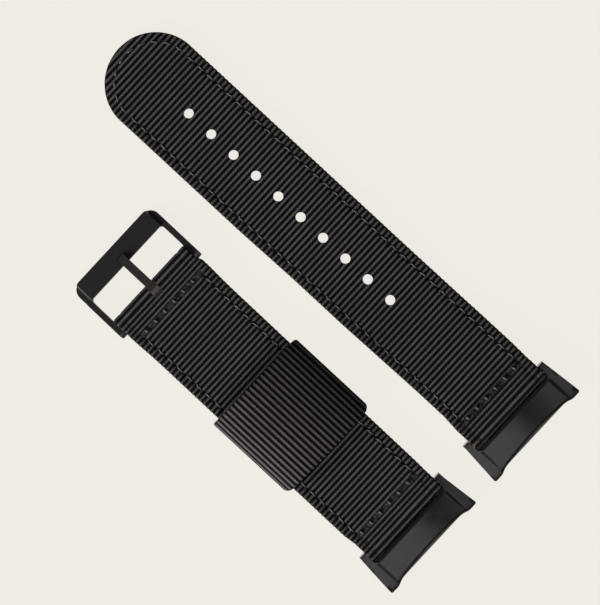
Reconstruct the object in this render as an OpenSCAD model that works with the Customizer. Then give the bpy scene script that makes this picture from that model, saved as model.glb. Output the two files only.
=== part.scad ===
// Two-piece woven nylon watch strap, laid out flat.
// The long holed piece lies at +Y and the short buckle piece at -Y, both with their watch end at +X.
// The origin is under the middle of the set, on the surface that it lies on.

/* [Webbing] */
// Width of the webbing, the nominal size of the strap
web_w = 22; // [18:0.5:26]
// Thickness of one layer of webbing; both pieces are two layers thick
ply_t = 1.1; // [0.9:0.05:1.3]
// Distance between the centre lines of the two pieces
piece_gap = 32.8; // [32:0.1:60]

/* [Long piece] */
// Length from the tip to the strap pin
tail_len = 113.96; // [108:0.01:140]
// Number of punched holes
hole_count = 10; // [5:1:11]
// Diameter of a punched hole
hole_d = 2.2; // [2:0.1:3]
// Distance from one hole to the next
hole_pitch = 6.6; // [5:0.1:6.8]
// Distance from the tip to the first hole
first_hole = 20.6; // [15:0.1:22]
// Length over which the piece sinks from the adapter to the surface
sag_len = 24; // [16:1:26]

/* [Short piece] */
// Length from the buckle bar to the strap pin
short_len = 72.81; // [70:0.01:90]
// Gap between the tongue's eye and the far end of its slot
slot_end_play = 0.12; // [0.1:0.01:0.4]
// Gap on each side of the tongue in its slot
slot_play = 0.2; // [0.1:0.05:0.4]

/* [Stitching] */
// Distance from the webbing's edge to the stitch line
edge_inset = 2.1; // [1.6:0.1:3]
// Distance from one edge stitch to the next
stitch_pitch = 2.75; // [2.4:0.05:3.5]
// Length of one edge stitch
stitch_len = 1.9; // [1.2:0.1:2.1]
// Width of the thread
thread_w = 0.5; // [0.3:0.05:0.6]
// Height of a stitch above the webbing
thread_proud = 0.15; // [0.1:0.05:0.25]
// Depth of the groove that the thread pulls into the webbing
groove_depth = 0.3; // [0.2:0.05:0.4]
// Number of stitches in a row across the webbing
cross_count = 6; // [4:1:6]
// Distance from one cross stitch to the next
cross_pitch = 2.93; // [2.4:0.01:3]
// Length of one cross stitch
cross_len = 1.2; // [0.8:0.1:1.6]
// Distance from the strap pin to its row of cross stitches
pin_row = 4.45; // [4:0.05:6]
// Distance from the buckle bar to its row of cross stitches
bar_row = 4.81; // [4.4:0.01:6]

/* [Keeper] */
// Length of the keeper along the strap
keeper_len = 22; // [12:0.5:24]
// Thickness of the keeper's webbing
keeper_t = 1.1; // [0.9:0.05:1.3]
// Gap between the webbing's edge and the keeper's side wall
keeper_side_play = 0.75; // [0.3:0.05:1]
// Gap between the short piece and the keeper's lower wall
keeper_under_play = 0.1; // [0.05:0.05:0.3]
// Free height under the keeper's arch, over the short piece
keeper_room = 3.7; // [2.4:0.05:3.9]
// Height at which the keeper's sides stand upright, where the arch starts
keeper_side_z = 3.3; // [3:0.1:3.8]
// Outer radius of the keeper's lower corners
keeper_corner = 1.6; // [1.5:0.1:1.7]
// Distance from the strap pin to the middle of the keeper
keeper_back = 32.49; // [18:0.01:40]
// Number of stitches in the keeper's seam
seam_count = 8; // [5:1:8]

/* [Spring bars] */
// Outer diameter of a spring bar's tube
bar_d = 1.8; // [1.7:0.05:2]
// Wall of the tube
bar_wall = 0.3; // [0.25:0.01:0.32]
// Diameter of a plunger's tip
tip_d = 0.8; // [0.7:0.05:0.9]
// Diameter of a plunger's neck where it leaves its head, inside the tube's lip
neck_d = 1; // [0.95:0.01:1.05]
// Length of the crimped lip at each end of the tube
lip_len = 0.25; // [0.2:0.05:0.4]
// Length of a plunger's head in the tube
head_len = 2.5; // [2:0.1:4]
// Diameter of the spring's wire
wire_d = 0.2; // [0.14:0.01:0.22]
// Radial clearance of what turns or slides on a pin
run_fit = 0.03; // [0.02:0.005:0.05]

/* [Buckle] */
// Distance from the bar to the outer edge of the crossbar
frame_len = 13.28; // [12.6:0.01:16]
// Width of the crossbar
crossbar_w = 4.7; // [3:0.01:5]
// Thickness of the frame
frame_t = 2; // [1.8:0.1:2.6]
// Width of a side arm
arm_w = 1.06; // [1:0.01:1.6]
// Gap between the webbing's edge and a side arm
arm_play = 0.36; // [0.25:0.01:0.6]
// Distance that a side arm reaches past the bar
arm_end = 2.4; // [1.8:0.05:2.8]
// Radius of the frame's outer corners
frame_corner = 2.4; // [1.5:0.1:3]
// Radius of the window's corners at the crossbar
window_corner = 0.7; // [0.3:0.1:1]
// Depth of the step at each end of the crossbar
end_step = 0.7; // [0.4:0.1:0.8]
// Distance from that step's upper edge to the arm's outer face
step_in = 1.6; // [1.2:0.1:2]
// Width of the step's slope
step_run = 0.6; // [0.3:0.1:0.8]
// Depth of a tip's hole in a side arm
tip_hole = 0.8; // [0.75:0.01:0.95]
// Gap between the tube's end and a side arm
tube_play = 0.2; // [0.1:0.01:0.3]

/* [Tongue] */
// Width of the tongue
tongue_w = 1.85; // [1.6:0.05:2.2]
// Width of the tongue's eye round the bar
eye_w = 2.2; // [2.2:0.05:2.8]
// Thickness of the tongue
tongue_t = 1.15; // [0.9:0.05:1.3]
// Wall of the tongue's eye
eye_wall = 1.05; // [0.6:0.05:1.1]
// Distance that the tongue reaches on to the crossbar
tongue_reach = 1.9; // [1.2:0.1:2.6]
// Depth of the tongue's notch in the crossbar
notch_depth = 0.35; // [0.2:0.05:0.5]
// Gap round the tongue in its notch
notch_play = 0.12; // [0.05:0.01:0.2]

/* [Adapter] */
// Diameter of the strap pin
pin_d = 1.5; // [1.3:0.1:1.6]
// Distance from the strap pin to the tips of the horns
horn_reach = 9.36; // [8.9:0.01:10.5]
// Distance that the ears reach past the strap pin
ear_back = 1; // [1:0.05:1.6]
// Gap between the webbing's edge and an ear
ear_play = 0.1; // [0.05:0.01:0.3]
// Wall of an ear
ear_wall = 1.43; // [1.2:0.01:1.8]
// Extra half width at the tips of the horns
horn_flare = 0.65; // [0.2:0.05:1]
// Radius of the ears' outer corners
ear_corner = 0.8; // [0.3:0.05:0.9]
// Gap between the webbing's loop and the adapter's face
loop_play = 0.2; // [0.15:0.05:0.4]
// Height of the adapter above the strap pin
over_pin = 2.05; // [1.9:0.01:2.2]
// Radius of the curve of the adapter's top
top_bend_r = 20; // [19:0.1:26]
// Width of a side rail
rail_w = 2; // [1.2:0.1:2.2]
// Depth at which the side rails lie below the face between them
rail_drop = 0.3; // [0.1:0.05:0.4]
// Length by which the barrel at the watch end is shorter than the webbing is wide
barrel_short = 1.3; // [1.2:0.1:3]
// Outer radius of the barrel
barrel_r = 1.65; // [1.55:0.01:1.7]
// Distance that the barrel lies behind the tips of the horns
barrel_back = 0.55; // [0.5:0.01:1.2]
// Depth of the hollow in the adapter's end edge
end_hollow = 0.66; // [0.4:0.01:1]
// Height of the free space under the horns
horn_space = 2.9; // [2.85:0.05:3]
// Distance that a bar's tips stand out of the barrel
tip_out = 1; // [0.8:0.05:1.2]
// Travel of the release plunger
release_travel = 1.1; // [1:0.05:1.3]
// Diameter of the release knob
knob_d = 1.2; // [1:0.05:1.4]
// Diameter of the knob's stem
stem_d = 0.5; // [0.4:0.05:0.55]
// Distance from the barrel's end to the release knob
knob_in = 3.1; // [2.8:0.1:4.5]

/* [Hidden] */

$fn = 48;
// Allowance that a cutting shape runs past the face it cuts
over = 1;
// Turn from one point of an arc to the next, and number of steps in the long piece's sag
arc_step = 7.5;
sag_steps = 16;

web_t = 2 * ply_t;
tail_y = piece_gap / 2;
short_y = -piece_gap / 2;
pin_x = (tail_len - horn_reach) / 2;
tip_x = pin_x - tail_len;
bar_x = pin_x - short_len;

// Heights: the keeper lies on the surface, the short piece on the keeper's lower wall
rise = keeper_t + keeper_under_play;
pin_loop_r = pin_d / 2 + run_fit + ply_t;
bar_loop_r = bar_d / 2 + run_fit + ply_t;
pin_z = rise + pin_loop_r;
bar_z = rise + bar_loop_r;

thread_run = groove_depth / 2;
// Step from the side of the thread's run in to a stitch round the tip
stitch_step = 0.03;
// Top of the thread's run, from the webbing's face
thread_low = thread_run - groove_depth;
stitch_y = web_w / 2 - edge_inset;

// Side view of the long piece's lower face: flat, then an even S up to the adapter
sag_end = pin_x - pin_row - thread_w;
sag_start = sag_end - sag_len;
function ease(u) = (1 - cos(180 * min(1, max(0, u)))) / 2;
function tail_low(x) = rise * ease((x - sag_start) / sag_len);
function tail_top(x) = tail_low(x) + web_t;
sag_xs = [for (i = [0 : sag_steps]) sag_start + i * sag_len / sag_steps];

// Point where the line from p touches the top of the circle with centre c and radius r, for c to p's right
function touch_angle(p, c, r) = atan2(c[1] - p[1], c[0] - p[0]) + asin(r / norm(c - p)) + 90;
// Points on an arc, from angle a to angle b
function arc(c, r, a, b) =
  let (n = max(2, ceil(abs(b - a) / arc_step)))
  [for (i = [0 : n]) let (t = a + i * (b - a) / n) [c[0] + r * cos(t), c[1] + r * sin(t)]];

// A side view in X and Z, given width w along Y
module side_extrude(w) {
  rotate([90, 0, 0])
    linear_extrude(height = w, center = true)
      children();
}

module rod_y(r, y0, y1) {
  translate([0, y1, 0])
    rotate([90, 0, 0])
      cylinder(r = r, h = y1 - y0);
}

module box(from, to) {
  translate(from)
    cube(to - from);
}

// Outline of a loop at +X, from its lowest point round to where the ramp from the stitches at p touches it
function right_loop(p, c, r) = arc(c, r, -90, touch_angle(p, c, r));
// The same at -X, from the ramp to the lowest point
function left_loop(p, c, r) = arc(c, r, 180 - touch_angle([2 * c[0] - p[0], p[1]], c, r), 270);

// Castellated side view of a thread: a low run in its groove, raised at each stitch
function thread_top(starts, length, low, high) = [
  for (s = starts)
    for (q = [[s, low], [s, high], [s + length, high], [s + length, low]]) q
];

// Starts of evenly spaced stitches, centred in the stretch from a to b
function stitch_starts(a, b) =
  let (n = max(1, floor((b - a - stitch_len) / stitch_pitch) + 1))
  let (first = (a + b - (n - 1) * stitch_pitch - stitch_len) / 2)
  [for (i = [0 : n - 1]) first + i * stitch_pitch];

// Webbing of the long piece
tail_row_x = pin_x - pin_row;
tip_r = web_w / 2;
tip_cx = tip_x + tip_r;
tip_stitch_r = stitch_y;
tail_line_end = tail_row_x - thread_w / 2;
tail_profile = concat(
  [[tip_x - over, 0]],
  [for (x = sag_xs) [x, tail_low(x)]],
  right_loop([tail_row_x, rise + web_t], [pin_x, pin_z], pin_loop_r),
  [[tail_row_x, rise + web_t]],
  [for (i = [sag_steps : -1 : 0]) [sag_xs[i], tail_top(sag_xs[i])]],
  [[tip_x - over, web_t]]
);

module tail_plan() {
  translate([tip_cx, 0, -over])
    linear_extrude(height = pin_z + pin_loop_r + 2 * over)
      polygon(concat(
        arc([0, 0], tip_r, 90, 270),
        [[pin_x + pin_loop_r + over - tip_cx, -tip_r], [pin_x + pin_loop_r + over - tip_cx, tip_r]]
      ));
}

module tail_holes() {
  for (i = [0 : hole_count - 1])
    translate([tip_x + first_hole + i * hole_pitch, 0, -over])
      cylinder(d = hole_d, h = rise + web_t + 2 * over);
}

// Groove of the two straight stitch lines and the half circle that joins them
module tail_groove() {
  for (side = [-1, 1])
    translate([0, side * stitch_y, 0])
      side_extrude(thread_w)
        polygon(concat(
          [[tip_cx, web_t - groove_depth]],
          [for (x = sag_xs) [x, tail_top(x) - groove_depth]],
          [[tail_line_end, tail_top(tail_line_end) - groove_depth],
            [tail_line_end, tail_top(tail_line_end) + over],
            [tip_cx, tail_top(tail_line_end) + over]]
        ));
  translate([tip_cx, 0, web_t - groove_depth])
    rotate([0, 0, 90])
      rotate_extrude(angle = 180)
        translate([tip_stitch_r - thread_w / 2, 0])
          square([thread_w, groove_depth + over]);
}

module tail_webbing() {
  color("#2b2a2c")
    translate([0, tail_y, 0])
      difference() {
        intersection() {
          side_extrude(web_w + over)
            polygon(tail_profile);
          tail_plan();
        }
        translate([pin_x, 0, pin_z])
          rod_y(pin_d / 2 + run_fit, -web_w, web_w);
        tail_holes();
        tail_groove();
        cross_groove(tail_row_x, rise + web_t);
      }
}

// Groove of a row of stitches across the webbing, whose top is at height z
module cross_groove(x, z) {
  half = stitch_y + thread_w / 2;
  box([x - thread_w / 2, -half, z - groove_depth], [x + thread_w / 2, half, z + over]);
}

module cross_thread(x, z) {
  half = stitch_y + thread_w / 2;
  box([x - thread_w / 2, -half, z - groove_depth],
    [x + thread_w / 2, half, z - groove_depth + thread_run]);
  for (i = [0 : cross_count - 1])
    translate([x, (i - (cross_count - 1) / 2) * cross_pitch, z - groove_depth])
      box([-thread_w / 2, -cross_len / 2, 0], [thread_w / 2, cross_len / 2, groove_depth + thread_proud]);
}

module tail_edge_stitching() {
  starts = stitch_starts(tip_cx, tail_line_end);
  tip_stitches = round(180 / (stitch_pitch / tip_stitch_r * 180 / PI));
  turn = stitch_len / tip_stitch_r * 180 / PI;
  color("#3a393b")
    translate([0, tail_y, 0])
      union() {
        for (side = [-1, 1])
          translate([0, side * stitch_y, 0])
            side_extrude(thread_w)
              polygon(concat(
                [[tip_cx, web_t - groove_depth]],
                [for (x = sag_xs) [x, tail_top(x) - groove_depth]],
                [[tail_line_end, tail_top(tail_line_end) - groove_depth],
                  [tail_line_end, tail_top(tail_line_end) - groove_depth + thread_run]],
                [for (i = [len(starts) - 1 : -1 : 0])
                  let (a = starts[i], b = a + stitch_len)
                  for (q = [[b, thread_low], [b, thread_proud], [a, thread_proud], [a, thread_low]])
                    [q[0], tail_top(q[0]) + q[1]]],
                [[tip_cx, web_t - groove_depth + thread_run]]
              ));
        translate([tip_cx, 0, web_t - groove_depth])
          rotate([0, 0, 90])
            rotate_extrude(angle = 180)
              translate([tip_stitch_r - thread_w / 2, 0])
                square([thread_w, thread_run]);
        for (i = [0 : tip_stitches - 1])
          translate([tip_cx, 0, web_t - groove_depth])
            rotate([0, 0, 90 + (i + 0.5) * 180 / tip_stitches - turn / 2])
              rotate_extrude(angle = turn)
                translate([tip_stitch_r - thread_w / 2 + stitch_step, thread_run / 2])
                  square([thread_w - 2 * stitch_step, groove_depth + thread_proud - thread_run / 2]);
      }
}

module tail_cross_stitching() {
  color("#3a393b")
    translate([0, tail_y, 0])
      union()
        cross_thread(tail_row_x, rise + web_t);
}

// Webbing of the short piece
short_pin_row_x = pin_x - pin_row;
short_bar_row_x = bar_x + bar_row;
short_top = rise + web_t;
slot_w = eye_w + 2 * slot_play;
short_profile = concat(
  right_loop([short_pin_row_x, short_top], [pin_x, pin_z], pin_loop_r),
  [[short_pin_row_x, short_top], [short_bar_row_x, short_top]],
  left_loop([short_bar_row_x, short_top], [bar_x, bar_z], bar_loop_r)
);

module short_webbing() {
  line_from = short_bar_row_x + thread_w / 2;
  line_to = short_pin_row_x - thread_w / 2;
  color("#2b2a2c")
    translate([0, short_y, 0])
      difference() {
        side_extrude(web_w)
          polygon(short_profile);
        translate([pin_x, 0, pin_z])
          rod_y(pin_d / 2 + run_fit, -web_w, web_w);
        translate([bar_x, 0, bar_z])
          rod_y(bar_d / 2 + run_fit, -web_w, web_w);
        // Slot for the tongue, through both sides of the fold
        box([bar_x - bar_loop_r - over, -slot_w / 2, 0],
          [bar_x + eye_r + slot_end_play, slot_w / 2, bar_z + bar_loop_r + over]);
        for (side = [-1, 1])
          box([line_from, side * stitch_y - thread_w / 2, short_top - groove_depth],
            [line_to, side * stitch_y + thread_w / 2, short_top + over]);
        cross_groove(short_pin_row_x, short_top);
        cross_groove(short_bar_row_x, short_top);
      }
}

module short_edge_thread(side) {
  line_from = short_bar_row_x + thread_w / 2;
  line_to = short_pin_row_x - thread_w / 2;
  low = short_top + thread_low;
  color("#3a393b")
    translate([0, short_y + side * stitch_y, 0])
      side_extrude(thread_w)
        polygon(concat(
          [[line_to, short_top - groove_depth], [line_from, short_top - groove_depth], [line_from, low]],
          thread_top(stitch_starts(line_from, line_to), stitch_len, low, short_top + thread_proud),
          [[line_to, low]]
        ));
}

module short_edge_stitching_left() {
  short_edge_thread(1);
}

module short_edge_stitching_right() {
  short_edge_thread(-1);
}

module short_cross_stitching_buckle() {
  color("#3a393b")
    translate([0, short_y, 0])
      union()
        cross_thread(short_bar_row_x, short_top);
}

module short_cross_stitching_adapter() {
  color("#3a393b")
    translate([0, short_y, 0])
      union()
        cross_thread(short_pin_row_x, short_top);
}

// Keeper
keeper_in_half = web_w / 2 + keeper_side_play;
keeper_half = keeper_in_half + keeper_t;
keeper_in_top = rise + web_t + keeper_room;
keeper_x = pin_x - keeper_back;
keeper_corner_in = keeper_corner - keeper_t;

// Closed outline in Y and Z: flat below with round corners, and half an ellipse above the sides
function keeper_outline(half, low, top, r) = concat(
  arc([half - r, low + r], r, -90, 0),
  [for (t = [0 : arc_step : 180]) [half * cos(t), keeper_side_z + (top - keeper_side_z) * sin(t)]],
  arc([r - half, low + r], r, 180, 270)
);

// Depth and width of the seam's groove, width of its thread, and room at the thread's ends
seam_groove = 0.3;
seam_w = 2.4;
seam_thread = 0.45;
seam_room = 0.2;

module keeper_place() {
  translate([keeper_x - keeper_len / 2, short_y, 0])
    rotate([90, 0, 90])
      children();
}

// The seam lies in a shallow groove of the lower wall's outer face
module keeper_band() {
  color("#2f2e30")
    difference() {
      keeper_place()
        linear_extrude(height = keeper_len)
          difference() {
            polygon(keeper_outline(keeper_half, 0, keeper_in_top + keeper_t, keeper_corner));
            polygon(keeper_outline(keeper_in_half, keeper_t, keeper_in_top, keeper_corner_in));
          }
      translate([keeper_x, short_y, 0])
        box([-keeper_len / 2 - over, -seam_w / 2, -over], [keeper_len / 2 + over, seam_w / 2, seam_groove]);
    }
}

// Bars of thread that cross the butt joint of the keeper's two ends
module keeper_seam_stitching() {
  pitch = keeper_len / seam_count;
  color("#3a393b")
    translate([keeper_x, short_y, 0])
      union() {
        box([-keeper_len / 2 + pitch / 2, -seam_thread / 2, seam_groove / 2],
          [keeper_len / 2 - pitch / 2, seam_thread / 2, seam_groove]);
        for (i = [0 : seam_count - 1])
          translate([(i - (seam_count - 1) / 2) * pitch, 0, 0])
            box([-seam_thread / 2, -seam_w / 2 + seam_room, seam_groove / 4],
              [seam_thread / 2, seam_w / 2 - seam_room, seam_groove]);
      }
}

// Spring bars
tube_bore_r = bar_d / 2 - bar_wall;
head_r = tube_bore_r - run_fit;
tip_r_bar = tip_d / 2;
neck_r = neck_d / 2;
// Free length at each end of a spring
coil_play = 0.02;

// Tube along Y from -half to half, with a crimped lip at each end
module bar_tube(half) {
  difference() {
    rod_y(bar_d / 2, -half, half);
    rod_y(tube_bore_r, -half + lip_len, half - lip_len);
    rod_y(neck_r + run_fit, -half - over, half + over);
  }
}

// Plunger towards +Y: a head behind the lip, a neck that narrows through it and a tip that ends at y = out
module bar_plunger(half, out, length, fit) {
  shoulder = half - lip_len - fit;
  rod_y(tube_bore_r - fit, shoulder - length, shoulder);
  translate([0, shoulder, 0])
    rotate([-90, 0, 0])
      cylinder(r1 = neck_r, r2 = tip_r_bar, h = half - shoulder);
  rod_y(tip_r_bar, shoulder - length / 2, out);
}

// Helical spring along Y from y0 to y1
module coil(y0, y1, turns) {
  per_turn = 8;
  sides = 4;
  n = turns * per_turn;
  mean_r = head_r - wire_d / 2;
  ring = [for (i = [0 : n]) for (j = [0 : sides - 1])
    let (a = 360 * i / per_turn, b = 360 * j / sides + 45, r = mean_r + wire_d / 2 * cos(b))
    [r * cos(a), y0 + wire_d / 2 + (y1 - y0 - wire_d) * i / n + wire_d / 2 * sin(b), r * sin(a)]];
  skin = [for (i = [0 : n - 1]) for (j = [0 : sides - 1])
    let (a = i * sides + j, b = i * sides + (j + 1) % sides)
    for (f = [[a, b, b + sides], [a, b + sides, a + sides]]) f];
  caps = [[2, 1, 0], [3, 2, 0],
    [n * sides, n * sides + 1, n * sides + 2], [n * sides, n * sides + 2, n * sides + 3]];
  polyhedron(ring, concat(skin, caps));
}

// Buckle
arm_in = web_w / 2 + arm_play;
arm_out = arm_in + arm_w;
tube_half = arm_in - tube_play;
// Gap between a tip's end and the bottom of its hole
tip_end_play = 0.05;
buckle_tip_out = arm_in + tip_hole - tip_end_play;
crossbar_in = frame_len - crossbar_w;
// Radius of the crossbar's outer edges in the side view
edge_round = 0.45;
// The frame droops until the lower edge of its crossbar meets the surface
low_edge = [frame_len - edge_round, frame_t / 2];
droop = asin(bar_z / norm(low_edge)) - atan2(low_edge[1], low_edge[0]);

module at_bar() {
  translate([bar_x, short_y, bar_z])
    children();
}

module at_frame() {
  at_bar()
    rotate([0, -droop, 0])
      children();
}

frame_side = concat(
  arc([-frame_len + edge_round, -frame_t / 2 + edge_round], edge_round, 270, 180),
  arc([-frame_len + edge_round, frame_t / 2 - edge_round], edge_round, 180, 90),
  arc([arm_end - frame_t / 2, 0], frame_t / 2, 90, -90)
);

frame_plan = concat(
  [[arm_end + over, arm_out]],
  arc([-frame_len + frame_corner, arm_out - frame_corner], frame_corner, 90, 180),
  arc([-frame_len + frame_corner, frame_corner - arm_out], frame_corner, 180, 270),
  [[arm_end + over, -arm_out]]
);

window_plan = concat(
  [[arm_end + 2 * over, arm_in]],
  arc([-crossbar_in + window_corner, arm_in - window_corner], window_corner, 90, 180),
  arc([-crossbar_in + window_corner, window_corner - arm_in], window_corner, 180, 270),
  [[arm_end + 2 * over, -arm_in]]
);

tongue_low_z = frame_t / 2 - notch_depth + notch_play;
tongue_top_z = tongue_low_z + tongue_t;
tongue_tip = crossbar_in + tongue_reach;

module buckle_frame() {
  color("#35343a")
    at_frame()
      difference() {
        intersection() {
          translate([0, 0, -frame_t])
            linear_extrude(height = 2 * frame_t)
              difference() {
                polygon(frame_plan);
                polygon(window_plan);
              }
          side_extrude(2 * arm_out + over)
            polygon(frame_side);
        }
        // Blind holes for the bar's tips
        rod_y(tip_r_bar + run_fit, -arm_in - tip_hole, arm_in + tip_hole);
        // Steps at the crossbar's ends
        for (side = [0, 1])
          mirror([0, side, 0])
            translate([-frame_len - over, 0, 0])
              rotate([90, 0, 90])
                linear_extrude(height = crossbar_w + over)
                  polygon([
                    [arm_out - step_in, frame_t / 2],
                    [arm_out - step_in + step_run, frame_t / 2 - end_step],
                    [arm_out + over, frame_t / 2 - end_step],
                    [arm_out + over, frame_t],
                    [arm_out - step_in, frame_t]
                  ]);
        // Notch that the tongue lies in
        box([-tongue_tip - notch_play, -tongue_w / 2 - notch_play, frame_t / 2 - notch_depth],
          [-crossbar_in + over, tongue_w / 2 + notch_play, frame_t]);
      }
}

eye_r = bar_d / 2 + run_fit + eye_wall;
// Side view of the tongue: it leaves the eye, rises to its waist and ends in a round nose on the crossbar
waist_x = -crossbar_in / 2;
waist_drop = 0.25;
nose_r = tongue_t * 0.4;
nose_x = -tongue_tip + nose_r;
nose_drop = 0.1;
rest_x = -crossbar_in + 0.3;
tongue_side = concat(
  [[0, -eye_r / 2], [waist_x, tongue_low_z - waist_drop], [rest_x, tongue_low_z]],
  arc([nose_x, tongue_low_z + nose_r], nose_r, 270, 180),
  [[nose_x, tongue_top_z - nose_drop], [-tongue_tip + tongue_t, tongue_top_z],
    [waist_x, tongue_top_z], [0, eye_r / 2]]
);

module buckle_tongue() {
  color("#454346")
    at_frame()
      difference() {
        union() {
          side_extrude(tongue_w)
            polygon(tongue_side);
          rod_y(eye_r, -eye_w / 2, eye_w / 2);
        }
        rod_y(bar_d / 2 + run_fit, -eye_w, eye_w);
      }
}

module buckle_bar_tube() {
  color("#8c8c90")
    at_bar()
      bar_tube(tube_half);
}

module buckle_bar_plunger_left() {
  color("#a2a2a6")
    at_bar()
      union()
        bar_plunger(tube_half, buckle_tip_out, head_len, run_fit);
}

module buckle_bar_plunger_right() {
  color("#a2a2a6")
    at_bar()
      mirror([0, 1, 0])
        union()
          bar_plunger(tube_half, buckle_tip_out, head_len, run_fit);
}

module buckle_bar_spring() {
  reach = tube_half - lip_len - run_fit - head_len - coil_play;
  turns = 14;
  color("#b8b8bc")
    at_bar()
      coil(-reach, reach, turns);
}

// Adapter, drawn with the strap pin over the origin and its horns towards +X
ear_in = web_w / 2 + ear_play;
ear_out = ear_in + ear_wall;
horn_out = ear_out + horn_flare;
adapter_top = pin_z + over_pin;
face_x = pin_loop_r + loop_play;
barrel_half = (web_w - barrel_short) / 2;
lip_x = horn_reach - barrel_back;
release_x = lip_x - barrel_r;
release_z = barrel_r;
// Centre of the top's curve
bend_x = 1.9;
bend_z = adapter_top - top_bend_r;
// Half width between the horns, which lap over the barrel's ends a little
horn_lap = 0.25;
horn_in = barrel_half - horn_lap;
horn_tip_in = (horn_in + horn_out) / 2;
end_edge_x = lip_x - end_hollow;
end_edge_r = (barrel_half * barrel_half + end_hollow * end_hollow) / (2 * end_hollow);
// The ears stand at full height as far as here; the horns carry on over free space
ear_front = 5.2;
// Radius of the horns' corners
tip_corner = 0.45;
// Height of the block's underside, and how far the block reaches up into the top plate
block_low = 0.15;
block_lap = 0.2;

function adapter_half() = concat(
  [[-ear_back, 0]],
  arc([-ear_back + ear_corner, ear_out - ear_corner], ear_corner, 180, 92),
  arc([horn_reach - tip_corner, horn_out - tip_corner], tip_corner, 90, 0),
  [[horn_reach, horn_tip_in], [lip_x, horn_in], [lip_x, 0]]
);

function flip_y(points) = [for (i = [len(points) - 1 : -1 : 0]) [points[i][0], -points[i][1]]];

module adapter_plan() {
  polygon(concat(adapter_half(), flip_y(adapter_half())));
}

// Everything under the bent top face, lowered by drop
module under_top(drop) {
  translate([bend_x, 0, bend_z])
    rod_y(top_bend_r - drop, -horn_out - over, horn_out + over);
}

module adapter_body() {
  intersection() {
    under_top(0);
    union() {
      // Top plate, with its horns
      difference() {
        translate([0, 0, horn_space])
          linear_extrude(height = adapter_top)
            adapter_plan();
        intersection() {
          translate([end_edge_x + end_edge_r, 0, horn_space - over])
            cylinder(r = end_edge_r, h = adapter_top);
          box([0, -barrel_half, horn_space - over], [horn_reach + over, barrel_half, adapter_top + over]);
        }
      }
      // Ears and the block between the webbing and the barrel
      intersection() {
        linear_extrude(height = adapter_top)
          adapter_plan();
        box([-ear_back - over, -horn_out - over, 0], [ear_front, horn_out + over, adapter_top]);
      }
      box([ear_front - over, -barrel_half, block_low], [release_x, barrel_half, horn_space + block_lap]);
    }
  }
  translate([release_x, 0, release_z])
    rod_y(barrel_r, -barrel_half, barrel_half);
}

knob_y = -(barrel_half - knob_in);
// Gap between the release knob and its window
knob_play = 0.1;
window_half = knob_d / 2 + knob_play;

module adapter_shell() {
  difference() {
    adapter_body();
    // Room for the webbing's loop
    box([-ear_back - over, -ear_in, -over], [face_x, ear_in, adapter_top + over]);
    // Side rails, lower than the face between them
    for (side = [0, 1])
      mirror([0, side, 0])
        difference() {
          box([-ear_back - over, ear_out - rail_w, horn_space],
            [horn_reach + over, horn_out + over, adapter_top + over]);
          under_top(rail_drop);
        }
    translate([0, 0, pin_z])
      rod_y(pin_d / 2, -horn_out - over, horn_out + over);
    translate([release_x, 0, release_z])
      rod_y(bar_d / 2, -barrel_half - over, barrel_half + over);
    // Window for the release knob
    box([release_x - window_half, knob_y - window_half, -over],
      [release_x + window_half, knob_y + release_travel + window_half, release_z]);
  }
}

// Depth at which the strap pin's ends lie in the ears, and the release tube's ends in the barrel
pin_recess = 0.2;
tube_recess = 0.05;
release_half = barrel_half - tube_recess;
release_out = barrel_half + tip_out;
// Gap between the stem and its slot in the tube
stem_play = 0.05;
// Lengths of the fixed tip's head, and of the plunger's head behind its knob
fixed_len = 1.2;
head_tail = 1;
plunger_len = knob_in + head_tail;
// Height of the stem's end above the plunger's axis
stem_top = 0.15;
// Gap between the knob and the tube, and between the knob and the surface below
knob_gap = 0.06;
knob_low = 0.1;

module strap_pin() {
  translate([0, 0, pin_z])
    rod_y(pin_d / 2, pin_recess - ear_out, ear_out - pin_recess);
}

module at_release() {
  translate([release_x, 0, release_z])
    children();
}

module release_tube() {
  at_release()
    difference() {
      bar_tube(release_half);
      box([-stem_d / 2 - stem_play, knob_y - stem_d / 2 - stem_play, -bar_d],
        [stem_d / 2 + stem_play, knob_y + release_travel + stem_d / 2 + stem_play, 0]);
    }
}

module release_fixed_tip() {
  at_release()
    bar_plunger(release_half, release_out, fixed_len, 0);
}

module release_plunger() {
  at_release()
    difference() {
      mirror([0, 1, 0])
        bar_plunger(release_half, release_out, plunger_len, run_fit);
      translate([0, knob_y, -bar_d])
        cylinder(d = stem_d, h = bar_d + stem_top);
    }
}

// Knob below the tube, with a stem pressed into the plunger
module release_knob() {
  head_top = -bar_d / 2 - knob_gap;
  head_low = knob_low - release_z;
  at_release()
    translate([0, knob_y, 0]) {
      translate([0, 0, head_low])
        cylinder(d = stem_d, h = stem_top - head_low);
      translate([0, 0, head_low])
        cylinder(d = knob_d, h = head_top - head_low);
    }
}

module release_spring() {
  from = -(release_half - lip_len - run_fit - plunger_len) + coil_play;
  to = release_half - lip_len - fixed_len - coil_play;
  turns = 12;
  at_release()
    coil(from, to, turns);
}

module at_tail_pin() {
  translate([pin_x, tail_y, 0])
    children();
}

module at_short_pin() {
  translate([pin_x, short_y, 0])
    children();
}

module tail_adapter_shell() {
  color("#3c3c3f")
    at_tail_pin()
      adapter_shell();
}

module tail_strap_pin() {
  color("#8c8c90")
    at_tail_pin()
      strap_pin();
}

module tail_release_tube() {
  color("#8c8c90")
    at_tail_pin()
      release_tube();
}

module tail_release_fixed_tip() {
  color("#a2a2a6")
    at_tail_pin()
      union()
        release_fixed_tip();
}

module tail_release_plunger() {
  color("#a2a2a6")
    at_tail_pin()
      release_plunger();
}

module tail_release_knob() {
  color("#a2a2a6")
    at_tail_pin()
      union()
        release_knob();
}

module tail_release_spring() {
  color("#b8b8bc")
    at_tail_pin()
      release_spring();
}

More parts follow.
